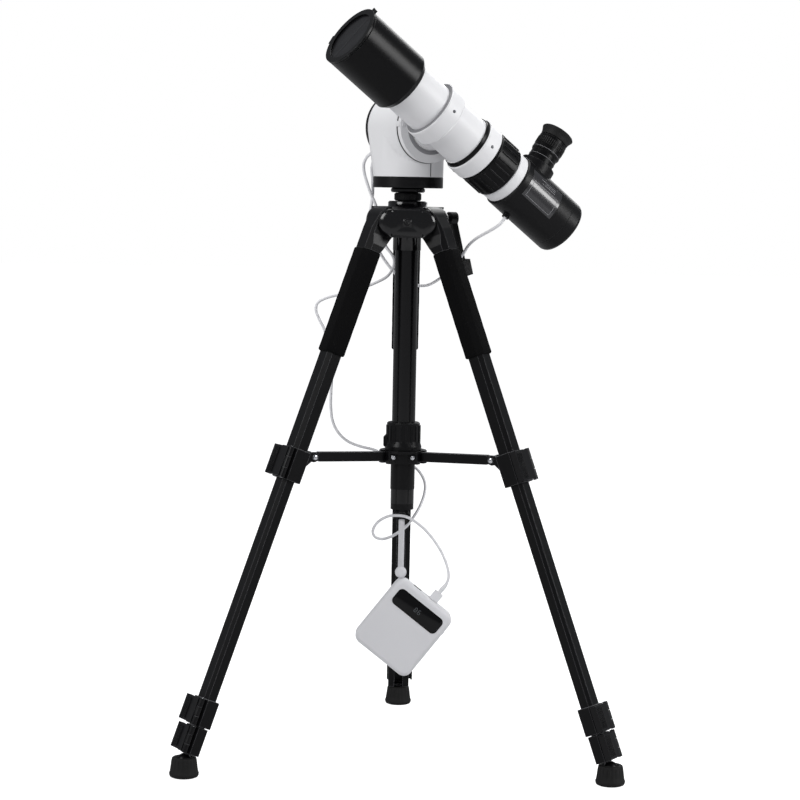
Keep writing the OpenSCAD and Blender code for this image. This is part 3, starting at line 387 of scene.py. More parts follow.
AIM = Vector((0, COLUMN.y, 0.42))
for lamp_name, place, width, power in (
    ("lamp_left", (-1.9, -1.5, 1.7), 1.3, 40.0),
    ("lamp_right", (2.0, -0.9, 1.2), 1.0, 32.0),
    ("lamp_top", (0.1, 0.2, 2.4), 1.6, 25.0),
    ("lamp_back", (0.7, 2.2, 1.4), 1.2, 12.0),
):
    light = bpy.data.lights.new(lamp_name, "AREA")
    light.shape = "SQUARE"
    light.size = width
    light.energy = power
    lamp = bpy.data.objects.new(lamp_name, light)
    scene.collection.objects.link(lamp)
    facing = (AIM - Vector(place)).to_track_quat("-Z", "Y")
    lamp.matrix_world = Matrix.Translation(place) @ facing.to_matrix().to_4x4()

# ---- Leg sections, spreader arms and tubes ----
# Extruded aluminium channels and tubes, anodised black. Each section slides in the one above and ends in
# a moulded lock, and the brackets and arms are stamped from the same black stock.

def cad_finish(material, *names):
    """Gives CAD nodes a material and leaves their shape as it is."""
    for name in names:
        nodes[name].data.materials.clear()
        nodes[name].data.materials.append(material)


def leg_frame(side):
    """The leg's own frame: its crown pin is the origin, -Z runs down the leg, +X is outwards."""
    fold = joints["leg_fold_" + side]
    up = -Vector(joints["middle_slide_" + side]["axis"])
    across = Vector(fold["axis"])
    return Matrix.Translation(fold["pos_m"]) @ axes_frame(across.cross(up), across, up)


def local_box(name, place):
    """Lowest and highest corner of a CAD node in a frame of its own."""
    back = place.inverted()
    corners = [back @ v.co for v in nodes[name].data.vertices]
    return (Vector(map(min, zip(*corners))), Vector(map(max, zip(*corners))))


# The dark edge colour here, and the anodising's brighter one, paint a thin highlight along the edges.
DARK_HIGHLIGHT_AND_DUST = (0.05, 0.05, 0.055)
anodised = finish_of(
    "black_anodising", (0.003, 0.003, 0.0034), 0.30, grain=1800.0, depth=0.00001, radius=0.0009, edge_highlight=0.8,
    highlight_and_dust_color=(0.20, 0.20, 0.21), mottle_scale=9.0, dust=0.01, shine=0.14,
)
for side in SIDES:
    cad_finish(
        anodised,
        *(part + side for part in ("leg_upper_", "leg_middle_", "leg_lower_", "leg_tip_", "arm_")),
    )
tube_gloss = finish_of(
    "tube_gloss", (0.0025, 0.0025, 0.003), 0.20, depth=0.000006, radius=0.0005, edge_highlight=0.2, highlight_and_dust_color=DARK_HIGHLIGHT_AND_DUST,
    dust=0.02, shine=0.45,
)
cad_finish(tube_gloss, "guide_tube", "centre_column")

# ---- Foam grips ----
# Closed-cell foam sleeves, moulded with soft ends and pushed over the top of each leg.
GRIP_INSET = 0.0016
GRIP_WALL = 0.0026
GRIP_CORNER = 0.004
GRIP_DIMPLE = 0.00012


def rounded_outline(corners, grow, steps=4):
    """Points round a convex outline that has been grown by an even distance, with round corners."""
    points = []
    for k, corner in enumerate(corners):
        into = (corner - corners[k - 1]).normalized()
        out = (corners[(k + 1) % len(corners)] - corner).normalized()
        first = math.atan2(-into.x, into.y)
        turn = (math.atan2(-out.x, out.y) - first) % math.tau
        for s in range(steps + 1):
            angle = first + turn * s / steps
            points.append(corner + grow * Vector((math.cos(angle), math.sin(angle))))
    return points


def loft(rings, place, ring_shape=False):
    """A closed surface through rings of (x, y, z) points in a frame of its own."""
    return skinned([[place @ Vector(point) for point in ring] for ring in rings], ring_shape)


foam = finish_of(
    "foam_rubber", (0.0022, 0.0022, 0.0024), 0.95, grain=3200.0, depth=0.00022, radius=0.0012,
    highlight_and_dust_color=(0.008, 0.008, 0.009), mottle=0.3, mottle_scale=60.0, dust=0.12, shine=0.10,
)
for side in SIDES:
    place = leg_frame(side)
    low, high = local_box("grip_" + side, place)
    x0, x1, y1 = low.x + GRIP_WALL, high.x - GRIP_WALL, high.y - GRIP_WALL
    x2, y2 = x1 - GRIP_CORNER, y1 - GRIP_CORNER
    sleeve = [Vector(p) for p in ((x0, -y1), (x2, -y1), (x1, -y2), (x1, y2), (x2, y1), (x0, y1))]
    stations = [(low.z, 0.0001), (low.z, GRIP_WALL - GRIP_INSET),
                (low.z + 0.3 * GRIP_INSET, GRIP_WALL - 0.35 * GRIP_INSET), (low.z + GRIP_INSET, GRIP_WALL)]
    middle = [(low.z + (high.z - low.z) * t / 12, GRIP_WALL - GRIP_DIMPLE * (t % 2)) for t in range(1, 12)]
    stations += middle + [(low.z + high.z - z, grow) for z, grow in stations[::-1]]
    rings = [[(*p, z) for p in rounded_outline(sleeve, grow)] for z, grow in stations]
    skin = loft(rings, place, ring_shape=True)
    piece_of("foam_grip_" + side, skin, foam, "leg_" + side, "foam", "grip_" + side, smooth=50)

# ---- Lever locks ----
# Moulded flip levers that squeeze each section on the next. Their finger edges carry raised ribs, and a
# steel pin through the knuckles of each lock shows at both ends.
RIB = Vector((0.0007, 0.0009, 0.0))
RIB_COUNT = 5
RIB_PITCH = 0.0021


def field_tree(name, inputs):
    """A new geometry tree with one mesh in and out, its own named inputs and a material."""
    inputs = {"Geometry": "Geometry", **inputs, "Material": "Material"}
    return new_group(name, "GeometryNodeTree", inputs, {"Geometry": "Geometry"})


def finish_tree(tree, given, result, points, instance, **more):
    """Ends a tree in instances on points, Realize Instances and Set Material."""
    inputs = {"Points": points, "Instance": instance, **more}
    put = add_node(tree, "GeometryNodeInstanceOnPoints", inputs)
    real = add_node(tree, "GeometryNodeRealizeInstances", {"Geometry": put.outputs["Instances"]})
    coat = add_node(tree, "GeometryNodeSetMaterial", {"Geometry": real.outputs["Geometry"],
                                                      "Material": given.outputs["Material"]})
    wire(tree, result, {"Geometry": coat.outputs["Geometry"]})
    return tree


def baked(base, kind, set_up):
    """The plain mesh that a modifier makes of a base mesh, once a function has set the modifier up."""
    holder = bpy.data.objects.new("holder", base)
    scene.collection.objects.link(holder)
    set_up(holder.modifiers.new("growth", kind))
    bpy.context.view_layer.update()
    seen = holder.evaluated_get(bpy.context.evaluated_depsgraph_get())
    mesh = bpy.data.meshes.new_from_object(seen)
    bpy.data.objects.remove(holder)
    return mesh


def grown(tree, base, values):
    """The plain mesh that a tree grows on a base mesh, with its inputs set by name."""
    def set_up(growth):
        growth.node_group = tree
        for item in tree.interface.items_tree:
            if item.in_out == "INPUT" and item.name in values:
                growth[item.identifier] = values[item.name]

    return baked(base, "NODES", set_up)


def make_rib_row():
    """A row of raised ribs: Count boxes of Size, a Pitch apart."""
    tree, given, result = field_tree(
        "rib_row", {"Count": 5, "Pitch": (0, 0.002, 0), "Start": (0, 0, 0), "Size": (0.001,) * 3}
    )
    row = {"Count": given.outputs["Count"], "Offset": given.outputs["Pitch"],
           "Start Location": given.outputs["Start"]}
    line = add_node(tree, "GeometryNodeMeshLine", row)
    rib = add_node(tree, "GeometryNodeMeshCube", {"Size": given.outputs["Size"]})
    return finish_tree(tree, given, result, line.outputs["Mesh"], rib.outputs["Mesh"])


def make_studs():
    """Round domed heads, one on each point of the base mesh, turned to face along its normal."""
    tree, given, result = field_tree("studs", {"Radius": 0.002, "Rise": 0.001})
    ball = add_node(tree, "GeometryNodeMeshUVSphere", {"Segments": 20, "Rings": 12, "Radius": 1.0})
    radius, rise = given.outputs["Radius"], given.outputs["Rise"]
    size = add_node(tree, "ShaderNodeCombineXYZ", {"X": radius, "Y": radius, "Z": rise})
    facing = add_node(tree, "GeometryNodeInputNamedAttribute", {"Name": "facing"}, data_type="FLOAT_VECTOR")
    turn = add_node(
        tree, "FunctionNodeAlignRotationToVector", {"Vector": facing.outputs["Attribute"]}, axis="Z",
    )
    return finish_tree(tree, given, result, given.outputs["Geometry"], ball.outputs["Mesh"],
                       Rotation=turn.outputs["Rotation"], Scale=size.outputs["Vector"])


RIB_ROW = make_rib_row()
STUDS = make_studs()
empty_mesh = bpy.data.meshes.new("empty")
RIB_SOFT = 0.28


def ribs_piece(name, tree, place, values, material, body, slot):
    """Ribs that a tree grows in a frame of its own, with their edges rounded."""
    ribs = bmesh.new()
    ribs.from_mesh(grown(tree, empty_mesh, {**values, "Material": material}))
    soft = min(values["Size"]) * RIB_SOFT
    bmesh.ops.bevel(ribs, geom=ribs.edges[:], offset=soft, segments=2, affect="EDGES", profile=0.5)
    ribs.transform(place)
    return piece_of(name, ribs, material, body, slot, smooth=30)


def studs_piece(name, places, radius, rise, material, body, slot):
    """Domed heads at (point, facing) pairs."""
    base = bpy.data.meshes.new(name)
    base.from_pydata([tuple(point) for point, facing in places], [], [])
    facings = base.attributes.new("facing", "FLOAT_VECTOR", "POINT")
    for k, (point, facing) in enumerate(places):
        facings.data[k].vector = facing
    mesh = grown(STUDS, base, {"Radius": radius, "Rise": rise, "Material": material})
    return piece_of(name, mesh, material, body, slot, smooth=60)


lever_plastic = finish_of(
    "lever_plastic", (0.0035, 0.0035, 0.004), 0.38, grain=1400.0, depth=0.00004, edge_highlight=0.28,
    highlight_and_dust_color=DARK_HIGHLIGHT_AND_DUST, shine=0.2,
)
steel = finish_of(
    "polished_steel", (0.62, 0.63, 0.65), 0.20, grain=2200.0, depth=0.000008, radius=0.0002, edge_highlight=0.2,
    highlight_and_dust_color=(0.8, 0.8, 0.82), mottle=0.08, dust=0.05, Metallic=1.0,
)
PIN_R = 0.0013
LOCKS = (("top", "leg_", 0.032), ("middle", "middle_", 0.027), ("low", "lower_", 0.027))
for side in SIDES:
    place = leg_frame(side)
    for level, body, length in LOCKS:
        lever = f"{level}_lever_{side}"
        cad_finish(lever_plastic, lever)
        low, high = local_box(lever, place)
        start = Vector((high.x, low.y + 0.0030, (low.z + high.z) / 2))
        size = RIB + Vector((0, 0, high.z - low.z - 0.004))
        row = {"Count": RIB_COUNT, "Pitch": (0, RIB_PITCH, 0), "Start": tuple(start), "Size": tuple(size)}
        ribs_piece(f"{lever}_ribs", RIB_ROW, place, row, lever_plastic, lever, "lock_black")
        hinge = joints[f"{level}_lever_turn_{side}"]
        along = Vector(hinge["axis"])
        ends = [(Vector(hinge["pos_m"]) + way * along * length / 2, way * along) for way in (-1, 1)]
        studs_piece(f"{level}_pin_ends_{side}", ends, PIN_R, 0.0004, steel, body + side, "leg_black")

# ---- Rivets of the spreader ----
# Bright steel rivets with domed heads, two for each arm: one in the hub's fork and one in the leg's ear.
RIVET_R = 0.0027
RIVET_RISE = 0.0011
EAR_HALF = 0.0080
HUB_HALF = 0.0108
ARM_END_R = 0.0042
EAR_RISE = 0.003
hub_rivets = []
for side in SIDES:
    pin = joints["arm_fold_" + side]
    across = Vector(pin["axis"])
    hub_pin = Vector(pin["pos_m"])
    outward = across.cross(UP)
    radial = axes_frame(outward, across, UP)
    reach = local_box("arm_" + side, Matrix.Translation(hub_pin) @ radial)[1].x - ARM_END_R
    ear = hub_pin + reach * outward + Vector((0, 0, EAR_RISE))
    ear_rivets = [(ear + way * EAR_HALF * across, way * across) for way in (-1, 1)]
    studs_piece("ear_rivets_" + side, ear_rivets, RIVET_R, RIVET_RISE, steel, "leg_" + side, "leg_black")
    hub_rivets += [(hub_pin + way * HUB_HALF * across, way * across) for way in (-1, 1)]
studs_piece("hub_rivets", hub_rivets, RIVET_R, RIVET_RISE, steel, "spreader", "leg_black")

# ---- Feet ----
# Moulded rubber feet, fluted round the side and rounded underneath, that swivel on the legs' balls.
FLUTES = 20
FLUTE_DEPTH = 0.0007
FLUTED = range(6, 9)
foot_rubber = finish_of(
    "foot_rubber", (0.006, 0.006, 0.006), 0.72, grain=1600.0, depth=0.00008, radius=0.0008, edge_highlight=0.3,
    highlight_and_dust_color=(0.05, 0.05, 0.05), dust=0.3, mottle=0.25, shine=0.25,
)


def turned_rings(profile, count, wave=None):
    """Rings of points round Z for a profile of (radius, z), with an optional change of radius by angle."""
    rings = []
    for k, (radius, z) in enumerate(profile):
        angles = [math.tau * s / count for s in range(count)]
        reaches = [radius + (wave(k, a) if wave else 0) for a in angles]
        rings.append([(reach * math.cos(a), reach * math.sin(a), z) for reach, a in zip(reaches, angles)])
    return rings


def flute(k, angle):
    """How far the flutes pull in the foot's profile at one of its points."""
    return -FLUTE_DEPTH * max(0, math.cos(FLUTES * angle)) if k in FLUTED else 0


for side in SIDES:
    low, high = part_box("foot_" + side)
    x, y = (low.x + high.x) / 2, (low.y + high.y) / 2
    place = Matrix.Translation((x, y, 0))
    base, top = high.x - x, high.z
    profile = [(base * 0.55, 0.0), (base - 0.0028, 0.0002), (base - 0.0010, 0.0010), (base - 0.0002, 0.0026),
               (base, 0.0044), (base - 0.0006, 0.0056), (0.0132, 0.0100), (0.0126, 0.0150),
               (0.0122, top - 0.0022), (0.0117, top - 0.0006), (0.0108, top), (0.0078, top),
               (0.0074, top - 0.0012)]
    skin = loft(turned_rings(profile, 4 * FLUTES, flute), place)
    piece_of(
        "rubber_foot_" + side, skin, foot_rubber, "foot_" + side, "foot_rubber", "foot_" + side, smooth=35,
    )

# ---- Crown ----
# Glossy black casting with three pairs of domes. Between the domes of each pair a flat panel carries a
# round boss with a raised ring and a recessed screw.
crown_gloss = finish_of(
    "crown_gloss", (0.003, 0.003, 0.0035), 0.15, grain=700.0, depth=0.00002, radius=0.0016, edge_highlight=0.10,
    highlight_and_dust_color=DARK_HIGHLIGHT_AND_DUST, mottle_scale=8.0, dust=0.08, shine=0.4, Coat_Weight=0.15,
    Coat_Roughness=0.1,
)


def smooth_copy(name, angle):
    """A copy of a CAD node as one closed mesh, smooth over shallow edges, with weighted normals that keep its
    sharp edges.
    """
    copy = bmesh.new()
    copy.from_mesh(nodes[name].data)
    bmesh.ops.remove_doubles(copy, verts=copy.verts, dist=1e-5)
    bmesh.ops.dissolve_degenerate(copy, edges=copy.edges, dist=1e-6)
    mesh = bpy.data.meshes.new(name + "_smooth")
    copy.to_mesh(mesh)
    copy.free()
    mesh.shade_smooth()
    mesh.set_sharp_from_angle(angle=math.radians(angle))
    return baked(mesh, "WEIGHTED_NORMAL", lambda weighted: setattr(weighted, "keep_sharp", True))


piece_of("crown_casting", smooth_copy("crown", 32), crown_gloss, "stand", "crown_black", "crown", smooth=0)

PANEL_OUT = 0.0338
BEAD_R = 0.00045
BOSS_RING_R = 0.0033
BOSS_SCREW = ((0.0022, -0.001), (0.0022, 0.0006), (0.0018, 0.0009), (0.0012, 0.0004))
pivot_height = joints["leg_fold_left"]["pos_m"][2]


def bead(place, radius, start, end, thick, steps=24):
    """A raised bead along part of a circle in the XY plane of a frame."""
    angles = [math.radians(start + (end - start) * s / steps) for s in range(steps + 1)]
    path = [place @ Vector((radius * math.cos(a), radius * math.sin(a), 0)) for a in angles]
    turned = place.to_3x3()
    ways = [(turned @ Vector((-math.sin(a), math.cos(a), 0))).normalized() for a in angles]
    return swept_tube(path, ways, [thick] * len(path), 8)


def joined(shapes):
    """Several shapes as one."""
    whole = bmesh.new()
    for shape in shapes:
        part = bpy.data.meshes.new("part")
        shape.to_mesh(part)
        shape.free()
        whole.from_mesh(part)
        bpy.data.meshes.remove(part)
    return whole


panel_shapes = []
for turn in (30, 150, 270):
    outward = Vector((math.cos(math.radians(turn)), math.sin(math.radians(turn)), 0))
    centre = COLUMN + Vector((0, 0, pivot_height)) + outward * PANEL_OUT
    face = Matrix.Translation(centre) @ axes_frame(UP.cross(outward), UP, outward)
    panel_shapes.append(bead(raised(face, -0.0001), BOSS_RING_R, 0, 359, BEAD_R))
    panel_shapes.append(loft(turned_rings(BOSS_SCREW, 32), face))
piece_of("crown_panel_marks", joined(panel_shapes), crown_gloss, "stand", "crown_black")

# ---- Collars, hub and fittings ----
# Moulded nylon parts on the column: the twist collar over the spreader's hub, the plug with its hook at
# the bottom, the knurled ring at the top, the base disc and the lever that clamps the column.
nylon = finish_of(
    "black_nylon", (0.004, 0.004, 0.0045), 0.34, grain=1100.0, depth=0.00005, radius=0.0007, edge_highlight=0.28,
    highlight_and_dust_color=DARK_HIGHLIGHT_AND_DUST, shine=0.2,
)
cad_finish(
    nylon, "bottom_fitting", "spreader_hub", "spreader_collar", "lock_ring", "column_lock", "base_disc",
)

COLLAR_R = 0.0166
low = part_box("spreader_collar")[0]
lug_rings = []
for z, grow in ((0.0, 0.0022), (0.0012, 0.0034), (0.0095, 0.0034), (0.0125, 0.0008)):
    out, root = -COLLAR_R - grow, -COLLAR_R + 0.002
    lug_rings.append([(out, -0.003, z), (out, 0.003, z), (root, 0.0038, z), (root, -0.0038, z)])
lug = loft(lug_rings, Matrix.Translation((COLUMN.x, COLUMN.y, low.z + 0.003)))
piece_of("collar_lug", lug, nylon, "spreader", "lock_black", smooth=30)

# ---- Mount ----
# White moulded housing on a black base, closed behind by a black cover. The round plate on its front
# turns with the telescope. A dark ring round it is painted shade in the gap between plate and housing,
# and a grey ring on its face is painted shade near the tube.
white_shell = finish_of(
    "white_shell", (0.78, 0.78, 0.79), 0.42, grain=1300.0, radius=0.0012, edge_highlight=0.0, mottle=0.025,
    mottle_scale=7.0, dust=0.02, shine=0.4,
)
black_shell = finish_of(
    "black_shell", (0.004, 0.004, 0.0045), 0.22, grain=1100.0, radius=0.0010, edge_highlight=0.2, highlight_and_dust_color=DARK_HIGHLIGHT_AND_DUST,
    shine=0.4,
)
# a grey for painted shade: the ring on the plate's face and the annulus on the first tube ring's step
shade_grey = finish_of("shade_grey", (0.24, 0.24, 0.25), 0.36, grain=1200.0, radius=0.0005, edge_highlight=0.2)
gap_black = finish_of("gap_black", (0.02, 0.02, 0.022), 0.6, grain=1200.0, radius=0.0003, edge_highlight=0.0)
piece_of(
    "housing_shell", smooth_copy("mount_housing", 25), white_shell, "mount", "white_shell", "mount_housing",
    smooth=0,
)
cad_finish(white_shell, "altitude_plate")
cad_finish(black_shell, "rear_cover")

AXIS_OUT = 0.040
altitude = joints["altitude_turn"]
side_way = -Vector(altitude["axis"])
front_way = side_way.cross(UP)
mount_turn = axes_frame(front_way, side_way, UP)
mount_place = Matrix.Translation(Vector(altitude["pos_m"]) - AXIS_OUT * side_way) @ mount_turn
# the altitude axis as a frame's Z axis, measured from the column
disc_place = mount_place @ Matrix.Rotation(math.radians(-90), 4, "X")
PLATE_FACE = 0.0420


def turned_band(profile, place, along, count=128):
    """A ring round the Z axis of a frame, from a closed profile of (radius, z) at a distance along it."""
    return loft(turned_rings([(radius, along + z) for radius, z in profile], count), place, ring_shape=True)


# a grey ring on the plate's face, painted shade near the tube
RING = [(0.0232, 0.0006), (0.0262, 0.0006), (0.0268, 0.0001), (0.0268, -0.0010), (0.0226, -0.0010),
        (0.0226, 0.0001)]
piece_of("plate_shade_ring", turned_band(RING, disc_place, PLATE_FACE, 96), shade_grey, "tube", "drive_metal")
PLATE_BACK = 0.0350
# a dark ring round the plate, painted shade in the gap between plate and housing
GAP_SHADE = [(0.0349, 0), (0.0354, 0), (0.0354, 0.0009), (0.0349, 0.0011), (0.0330, 0.0004), (0.0330, 0)]
piece_of("plate_gap_shade", turned_band(GAP_SHADE, disc_place, PLATE_BACK), gap_black, "mount", "black_shell")
stop_rings = []
for z, inset in ((0.0, 0.0006), (0.0006, 0.0), (0.0048, 0.0), (0.0054, 0.0006)):
    side_y, top_y = 0.0405 - inset, 0.0425 - inset
    stop_rings.append([(0.0300, 0.0362, z), (0.0362, 0.0362, z), (0.0362, side_y, z), (0.0330, top_y, z),
                       (0.0300, top_y, z)])
stop = loft(stop_rings, mount_place)
piece_of("plate_stop", stop, white_shell, "tube", "white_shell", smooth=20)

# hatch seam low on the housing, a dark line cut into the shell
SEAM_W = 0.00045
disc_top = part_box("base_disc")[1].z
SEAM_OUT = 0.03484
seam_angle = math.radians(-51)
seam_out = Vector((math.cos(seam_angle), math.sin(seam_angle), 0)) * SEAM_OUT
seam_path = [COLUMN + seam_out + Vector((0, 0, disc_top + z)) for z in (0.0004, 0.005, 0.010, 0.0135)]
seam = swept_tube(seam_path, [UP] * len(seam_path), [SEAM_W] * len(seam_path), 8)
piece_of("housing_seam", seam, gap_black, "mount", "black_shell")

# grommets where the two cables leave the back cover
for label, path, ways in (("power", power_path, power_ways), ("camera", camera_path, camera_ways)):
    sleeve = [path[0] - 0.002 * ways[0], path[0] + 0.001 * ways[0], *path[2:9:2]]
    sleeve_ways = [ways[0], ways[0], *ways[2:9:2]]
    shape = swept_tube(sleeve, sleeve_ways, [0.0030, 0.0030, 0.0026, 0.0023, 0.0020, 0.0017], 20)
    piece_of(f"{label}_cable_relief", shape, jacket, "mount", "cable_white")

# inside the mount: gear, motors and board
drive_metal = finish_of(
    "drive_metal", (0.42, 0.42, 0.44), 0.38, grain=2400.0, depth=0.00002, radius=0.0003, edge_highlight=0.2,
    Metallic=0.8,
)
cad_finish(drive_metal, "mount_drive")

# ---- Telescope tube and rings ----
# Aluminium tube in white satin paint, with two white clamp rings, a black band and small dark set screws.
white_paint = finish_of(
    "white_paint", (0.78, 0.78, 0.79), 0.42, grain=1000.0, depth=0.00002, radius=0.0008, edge_highlight=0.0,
    mottle=0.02, mottle_scale=9.0, dust=0.01, shine=0.35,
)
black_paint = finish_of(
    "black_paint", (0.002, 0.002, 0.0023), 0.30, grain=1500.0, radius=0.0008, edge_highlight=0.35,
    highlight_and_dust_color=(0.07, 0.07, 0.075), dust=0.02, shine=0.15,
)
cad_finish(white_paint, "main_tube", "tube_rings")
cad_finish(black_paint, "hood", "solar_cap", "focus_ring", "eyepiece")

FOCUS_BACK = 0.060
focus = joints["focus_turn"]
aim_way = Vector(focus["axis"])
tube_turn = axes_frame(side_way.cross(aim_way), side_way, aim_way)
tube_place = Matrix.Translation(Vector(focus["pos_m"]) + FOCUS_BACK * aim_way) @ tube_turn
TUBE_R = local_box("main_tube", tube_place)[1].y
BAND = [(-0.001, -0.0222), (-0.001, -0.0264), (0.0028, -0.0264), (0.0028, -0.0262), (0.0016, -0.0257),
        (0.0016, -0.0224), (0.0012, -0.0222)]
# a grey annulus on the first ring's front step, painted shade on that face
STEP_SHADE = [(0.0036, 0.0291), (0.0036, 0.0294), (0.0001, 0.0296), (0.0001, 0.0291)]
for name, profile, material, slot in (
    ("tube_band", BAND, black_paint, "black_paint"), ("ring_step_shade", STEP_SHADE, shade_grey, "white_tube"),
):
    ring = turned_band([(TUBE_R + out, z) for out, z in profile], tube_place, 0)
    piece_of(name, ring, material, "tube", slot)

SCREW_R = 0.0016
screw_angle = math.radians(5)
screw_way = Vector((-math.sin(screw_angle), math.cos(screw_angle), 0))
set_screws = []
for radius, station in ((0.0304, 0.0202), (0.0296, -0.0350)):
    for turn in (0, 120, 240):
        facing = Matrix.Rotation(math.radians(turn), 3, "Z") @ screw_way
        place = tube_place @ (facing * (radius - 0.0001) + Vector((0, 0, station)))
        set_screws.append((place, tube_place.to_3x3() @ facing))
dark_steel = finish_of(
    "dark_steel", (0.045, 0.045, 0.05), 0.3, grain=2400.0, depth=0.00002, radius=0.0002, edge_highlight=0.2,
    Metallic=1.0,
)
studs_piece("set_screws", set_screws, SCREW_R, 0.0005, dark_steel, "tube", "black_paint")

# ---- Sun cap ----
# Push-on cap with a black aluminised film, held loose, so that it shows a faint crease and ripples.
FILM_R = 0.0257
hood_front = local_box("hood", tube_place)[1].z
film_black = finish_of(
    "solar_film", (0.012, 0.012, 0.014), 0.30, grain=300.0, depth=0.00005, radius=0.0002, edge_highlight=0.0,
    mottle=0.4, mottle_scale=40.0, dust=0.05, Metallic=0.55,
)


def film_height(x, y):
    """Ripples in the film, with one crease across it."""
    crease = 0.00022 * math.exp(-((y * 0.94 + x * 0.34 - 0.002) / 0.0009) ** 2)
    return crease + 0.00010 * math.sin(310 * x + 1.1) * math.cos(270 * y + 0.4)


rings = []
for share in (0.04, 0.15, 0.27, 0.4, 0.52, 0.64, 0.76, 0.88, 0.96, 1.0):
    points = turned_rings([(FILM_R * share, 0.0004)], 72)[0]
    rings.append([(x, y, z + (film_height(x, y) if share < 1 else 0)) for x, y, z in points])
rings.append([(x, y, 0.0001) for x, y, z in rings[-1]])
film = loft(rings, raised(tube_place, hood_front))
piece_of("cap_film", film, film_black, "solar_cap", "black_paint", smooth=60)

# ---- Focus ring, camera and eyepiece ----
# Rubbered focus ring, a moulded camera barrel with a gloss panel let into its side, and a slim eyepiece
# with a soft rubber cup.
camera_skin = finish_of(
    "camera_skin", (0.003, 0.003, 0.0035), 0.36, grain=1700.0, depth=0.00004, radius=0.0009, edge_highlight=0.3,
    highlight_and_dust_color=(0.06, 0.06, 0.065), dust=0.02, shine=0.18,
)
panel_gloss = finish_of(
    "panel_gloss", (0.014, 0.014, 0.016), 0.22, depth=0.00001, radius=0.0003, edge_highlight=0.1, dust=0.04,
    Coat_Weight=0.5, Coat_Roughness=0.06,
)
line_grey = finish_of(
    "line_grey", (0.22, 0.22, 0.23), 0.5, grain=1200.0, depth=0.00002, radius=0.0002, edge_highlight=0.0,
)
cad_finish(camera_skin, "camera_body")
BARREL_R = 0.0286
PANEL = (-0.1325, -0.0915)
PANEL_TURN = (66.0, 128.0)


def barrel_patch(stations, turns, low, high, steps=24):
    """A curved plate on the barrel between two stations and two angles, from one radius to another."""
    angles = [math.radians(turns[0] + (turns[1] - turns[0]) * s / steps) for s in range(steps + 1)]
    ring = [(low, a) for a in angles] + [(high, a) for a in reversed(angles)]
    return loft([[(r * math.cos(a), r * math.sin(a), z) for r, a in ring] for z in stations], tube_place)


panel = barrel_patch(PANEL, PANEL_TURN, BARREL_R - 0.0004, BARREL_R + 0.00025)
piece_of("camera_panel", panel, panel_gloss, "camera", "camera_black", smooth=30)
LINE_R = (BARREL_R + 0.0001, BARREL_R + 0.00036)
LINE_W = 0.0004
near, far = PANEL[0] + 0.0035, PANEL[1] - 0.0035
lines = [barrel_patch(ends, turns, *LINE_R) for ends, turns in (
    ((near, near + LINE_W), (70, 106)), ((far - LINE_W, far), (70, 106)), ((near, far), (70, 70.9)),
    ((near, far), (105.1, 106)), ((near + 0.006, far - 0.010), (112, 113.0)),
    ((near + 0.006, far - 0.014), (116, 117.0)), ((near + 0.006, far - 0.008), (120, 121.0)),
)]
piece_of("panel_lines", joined(lines), line_grey, "camera", "camera_black", smooth=0)


def make_rib_ring():
    """Ribs round a circle: Count boxes of Size on a Radius, each turned to face outwards."""
    tree, given, result = field_tree("rib_ring", {"Count": 24, "Radius": 0.02, "Size": (0.001,) * 3})
    circle = add_node(tree, "GeometryNodeMeshCircle", {"Vertices": given.outputs["Count"],
                                                       "Radius": given.outputs["Radius"]})
    rib = add_node(tree, "GeometryNodeMeshCube", {"Size": given.outputs["Size"]})
    spot = tree.nodes.new("GeometryNodeInputPosition")
    turn = add_node(tree, "FunctionNodeAlignRotationToVector", {"Vector": spot.outputs["Position"]}, axis="X")
    return finish_tree(tree, given, result, circle.outputs["Mesh"], rib.outputs["Mesh"],
                       Rotation=turn.outputs["Rotation"])


RIB_RING = make_rib_ring()
eye = joints["eyepiece_out"]
eye_way = Vector(eye["axis"])
EYE_STATION = -0.104
eye_turn = axes_frame(side_way, eye_way.cross(side_way), eye_way)
eye_place = Matrix.Translation(tube_place @ Vector((0, 0, EYE_STATION))) @ eye_turn
eyecup_rubber = finish_of(
    "eyecup_rubber", (0.004, 0.004, 0.004), 0.62, grain=1500.0, depth=0.00006, radius=0.0010, edge_highlight=0.3,
    highlight_and_dust_color=(0.03, 0.03, 0.03), shine=0.3,
)
cad_finish(eyecup_rubber, "eyecup")
ribs_piece(
    "eyepiece_grip", RIB_RING, raised(eye_place, 0.0555),
    {"Count": 44, "Radius": 0.0148, "Size": (0.0008, 0.0011, 0.0075)}, eyecup_rubber, "eyepiece",
    "eyecup_rubber",
)
for label, height, radius in (("low", 0.0395, 0.01395), ("high", 0.0475, 0.0149)):
    shape = bead(raised(eye_place, height), radius, 0, 359, 0.00022, 72)
    piece_of(f"eyepiece_line_{label}", shape, line_grey, "eyepiece", "black_paint")
lens_glass, glass_tree, glass = new_material("coated_glass")
coating = noise_node(glass_tree, object_place(glass_tree), 30.0, 1.0)
tint = mix_node(glass_tree, (0.42, 0.60, 0.62, 1), (0.50, 0.46, 0.66, 1), coating)
wire(glass_tree, glass, {"Base Color": tint, "Roughness": 0.03, "Transmission Weight": 0.85, "IOR": 1.5})
cad_finish(lens_glass, "objective_lens")
LENS_R = 0.0092
dome = [(0.0002, 0.0030), (LENS_R * 0.3, 0.0029), (LENS_R * 0.6, 0.0024), (LENS_R * 0.85, 0.0017),
        (LENS_R, 0.001), (LENS_R, 0.0)]
piece_of(
    "eye_lens", loft(turned_rings(dome, 48), raised(eye_place, 0.0620)), lens_glass, "eyepiece",
    "lens_glass",
)

board_green = finish_of(
    "board_green", (0.02, 0.16, 0.07), 0.4, radius=0.0003, edge_highlight=0.2, highlight_and_dust_color=(0.5, 0.4, 0.2),
)
cad_finish(board_green, "camera_board")

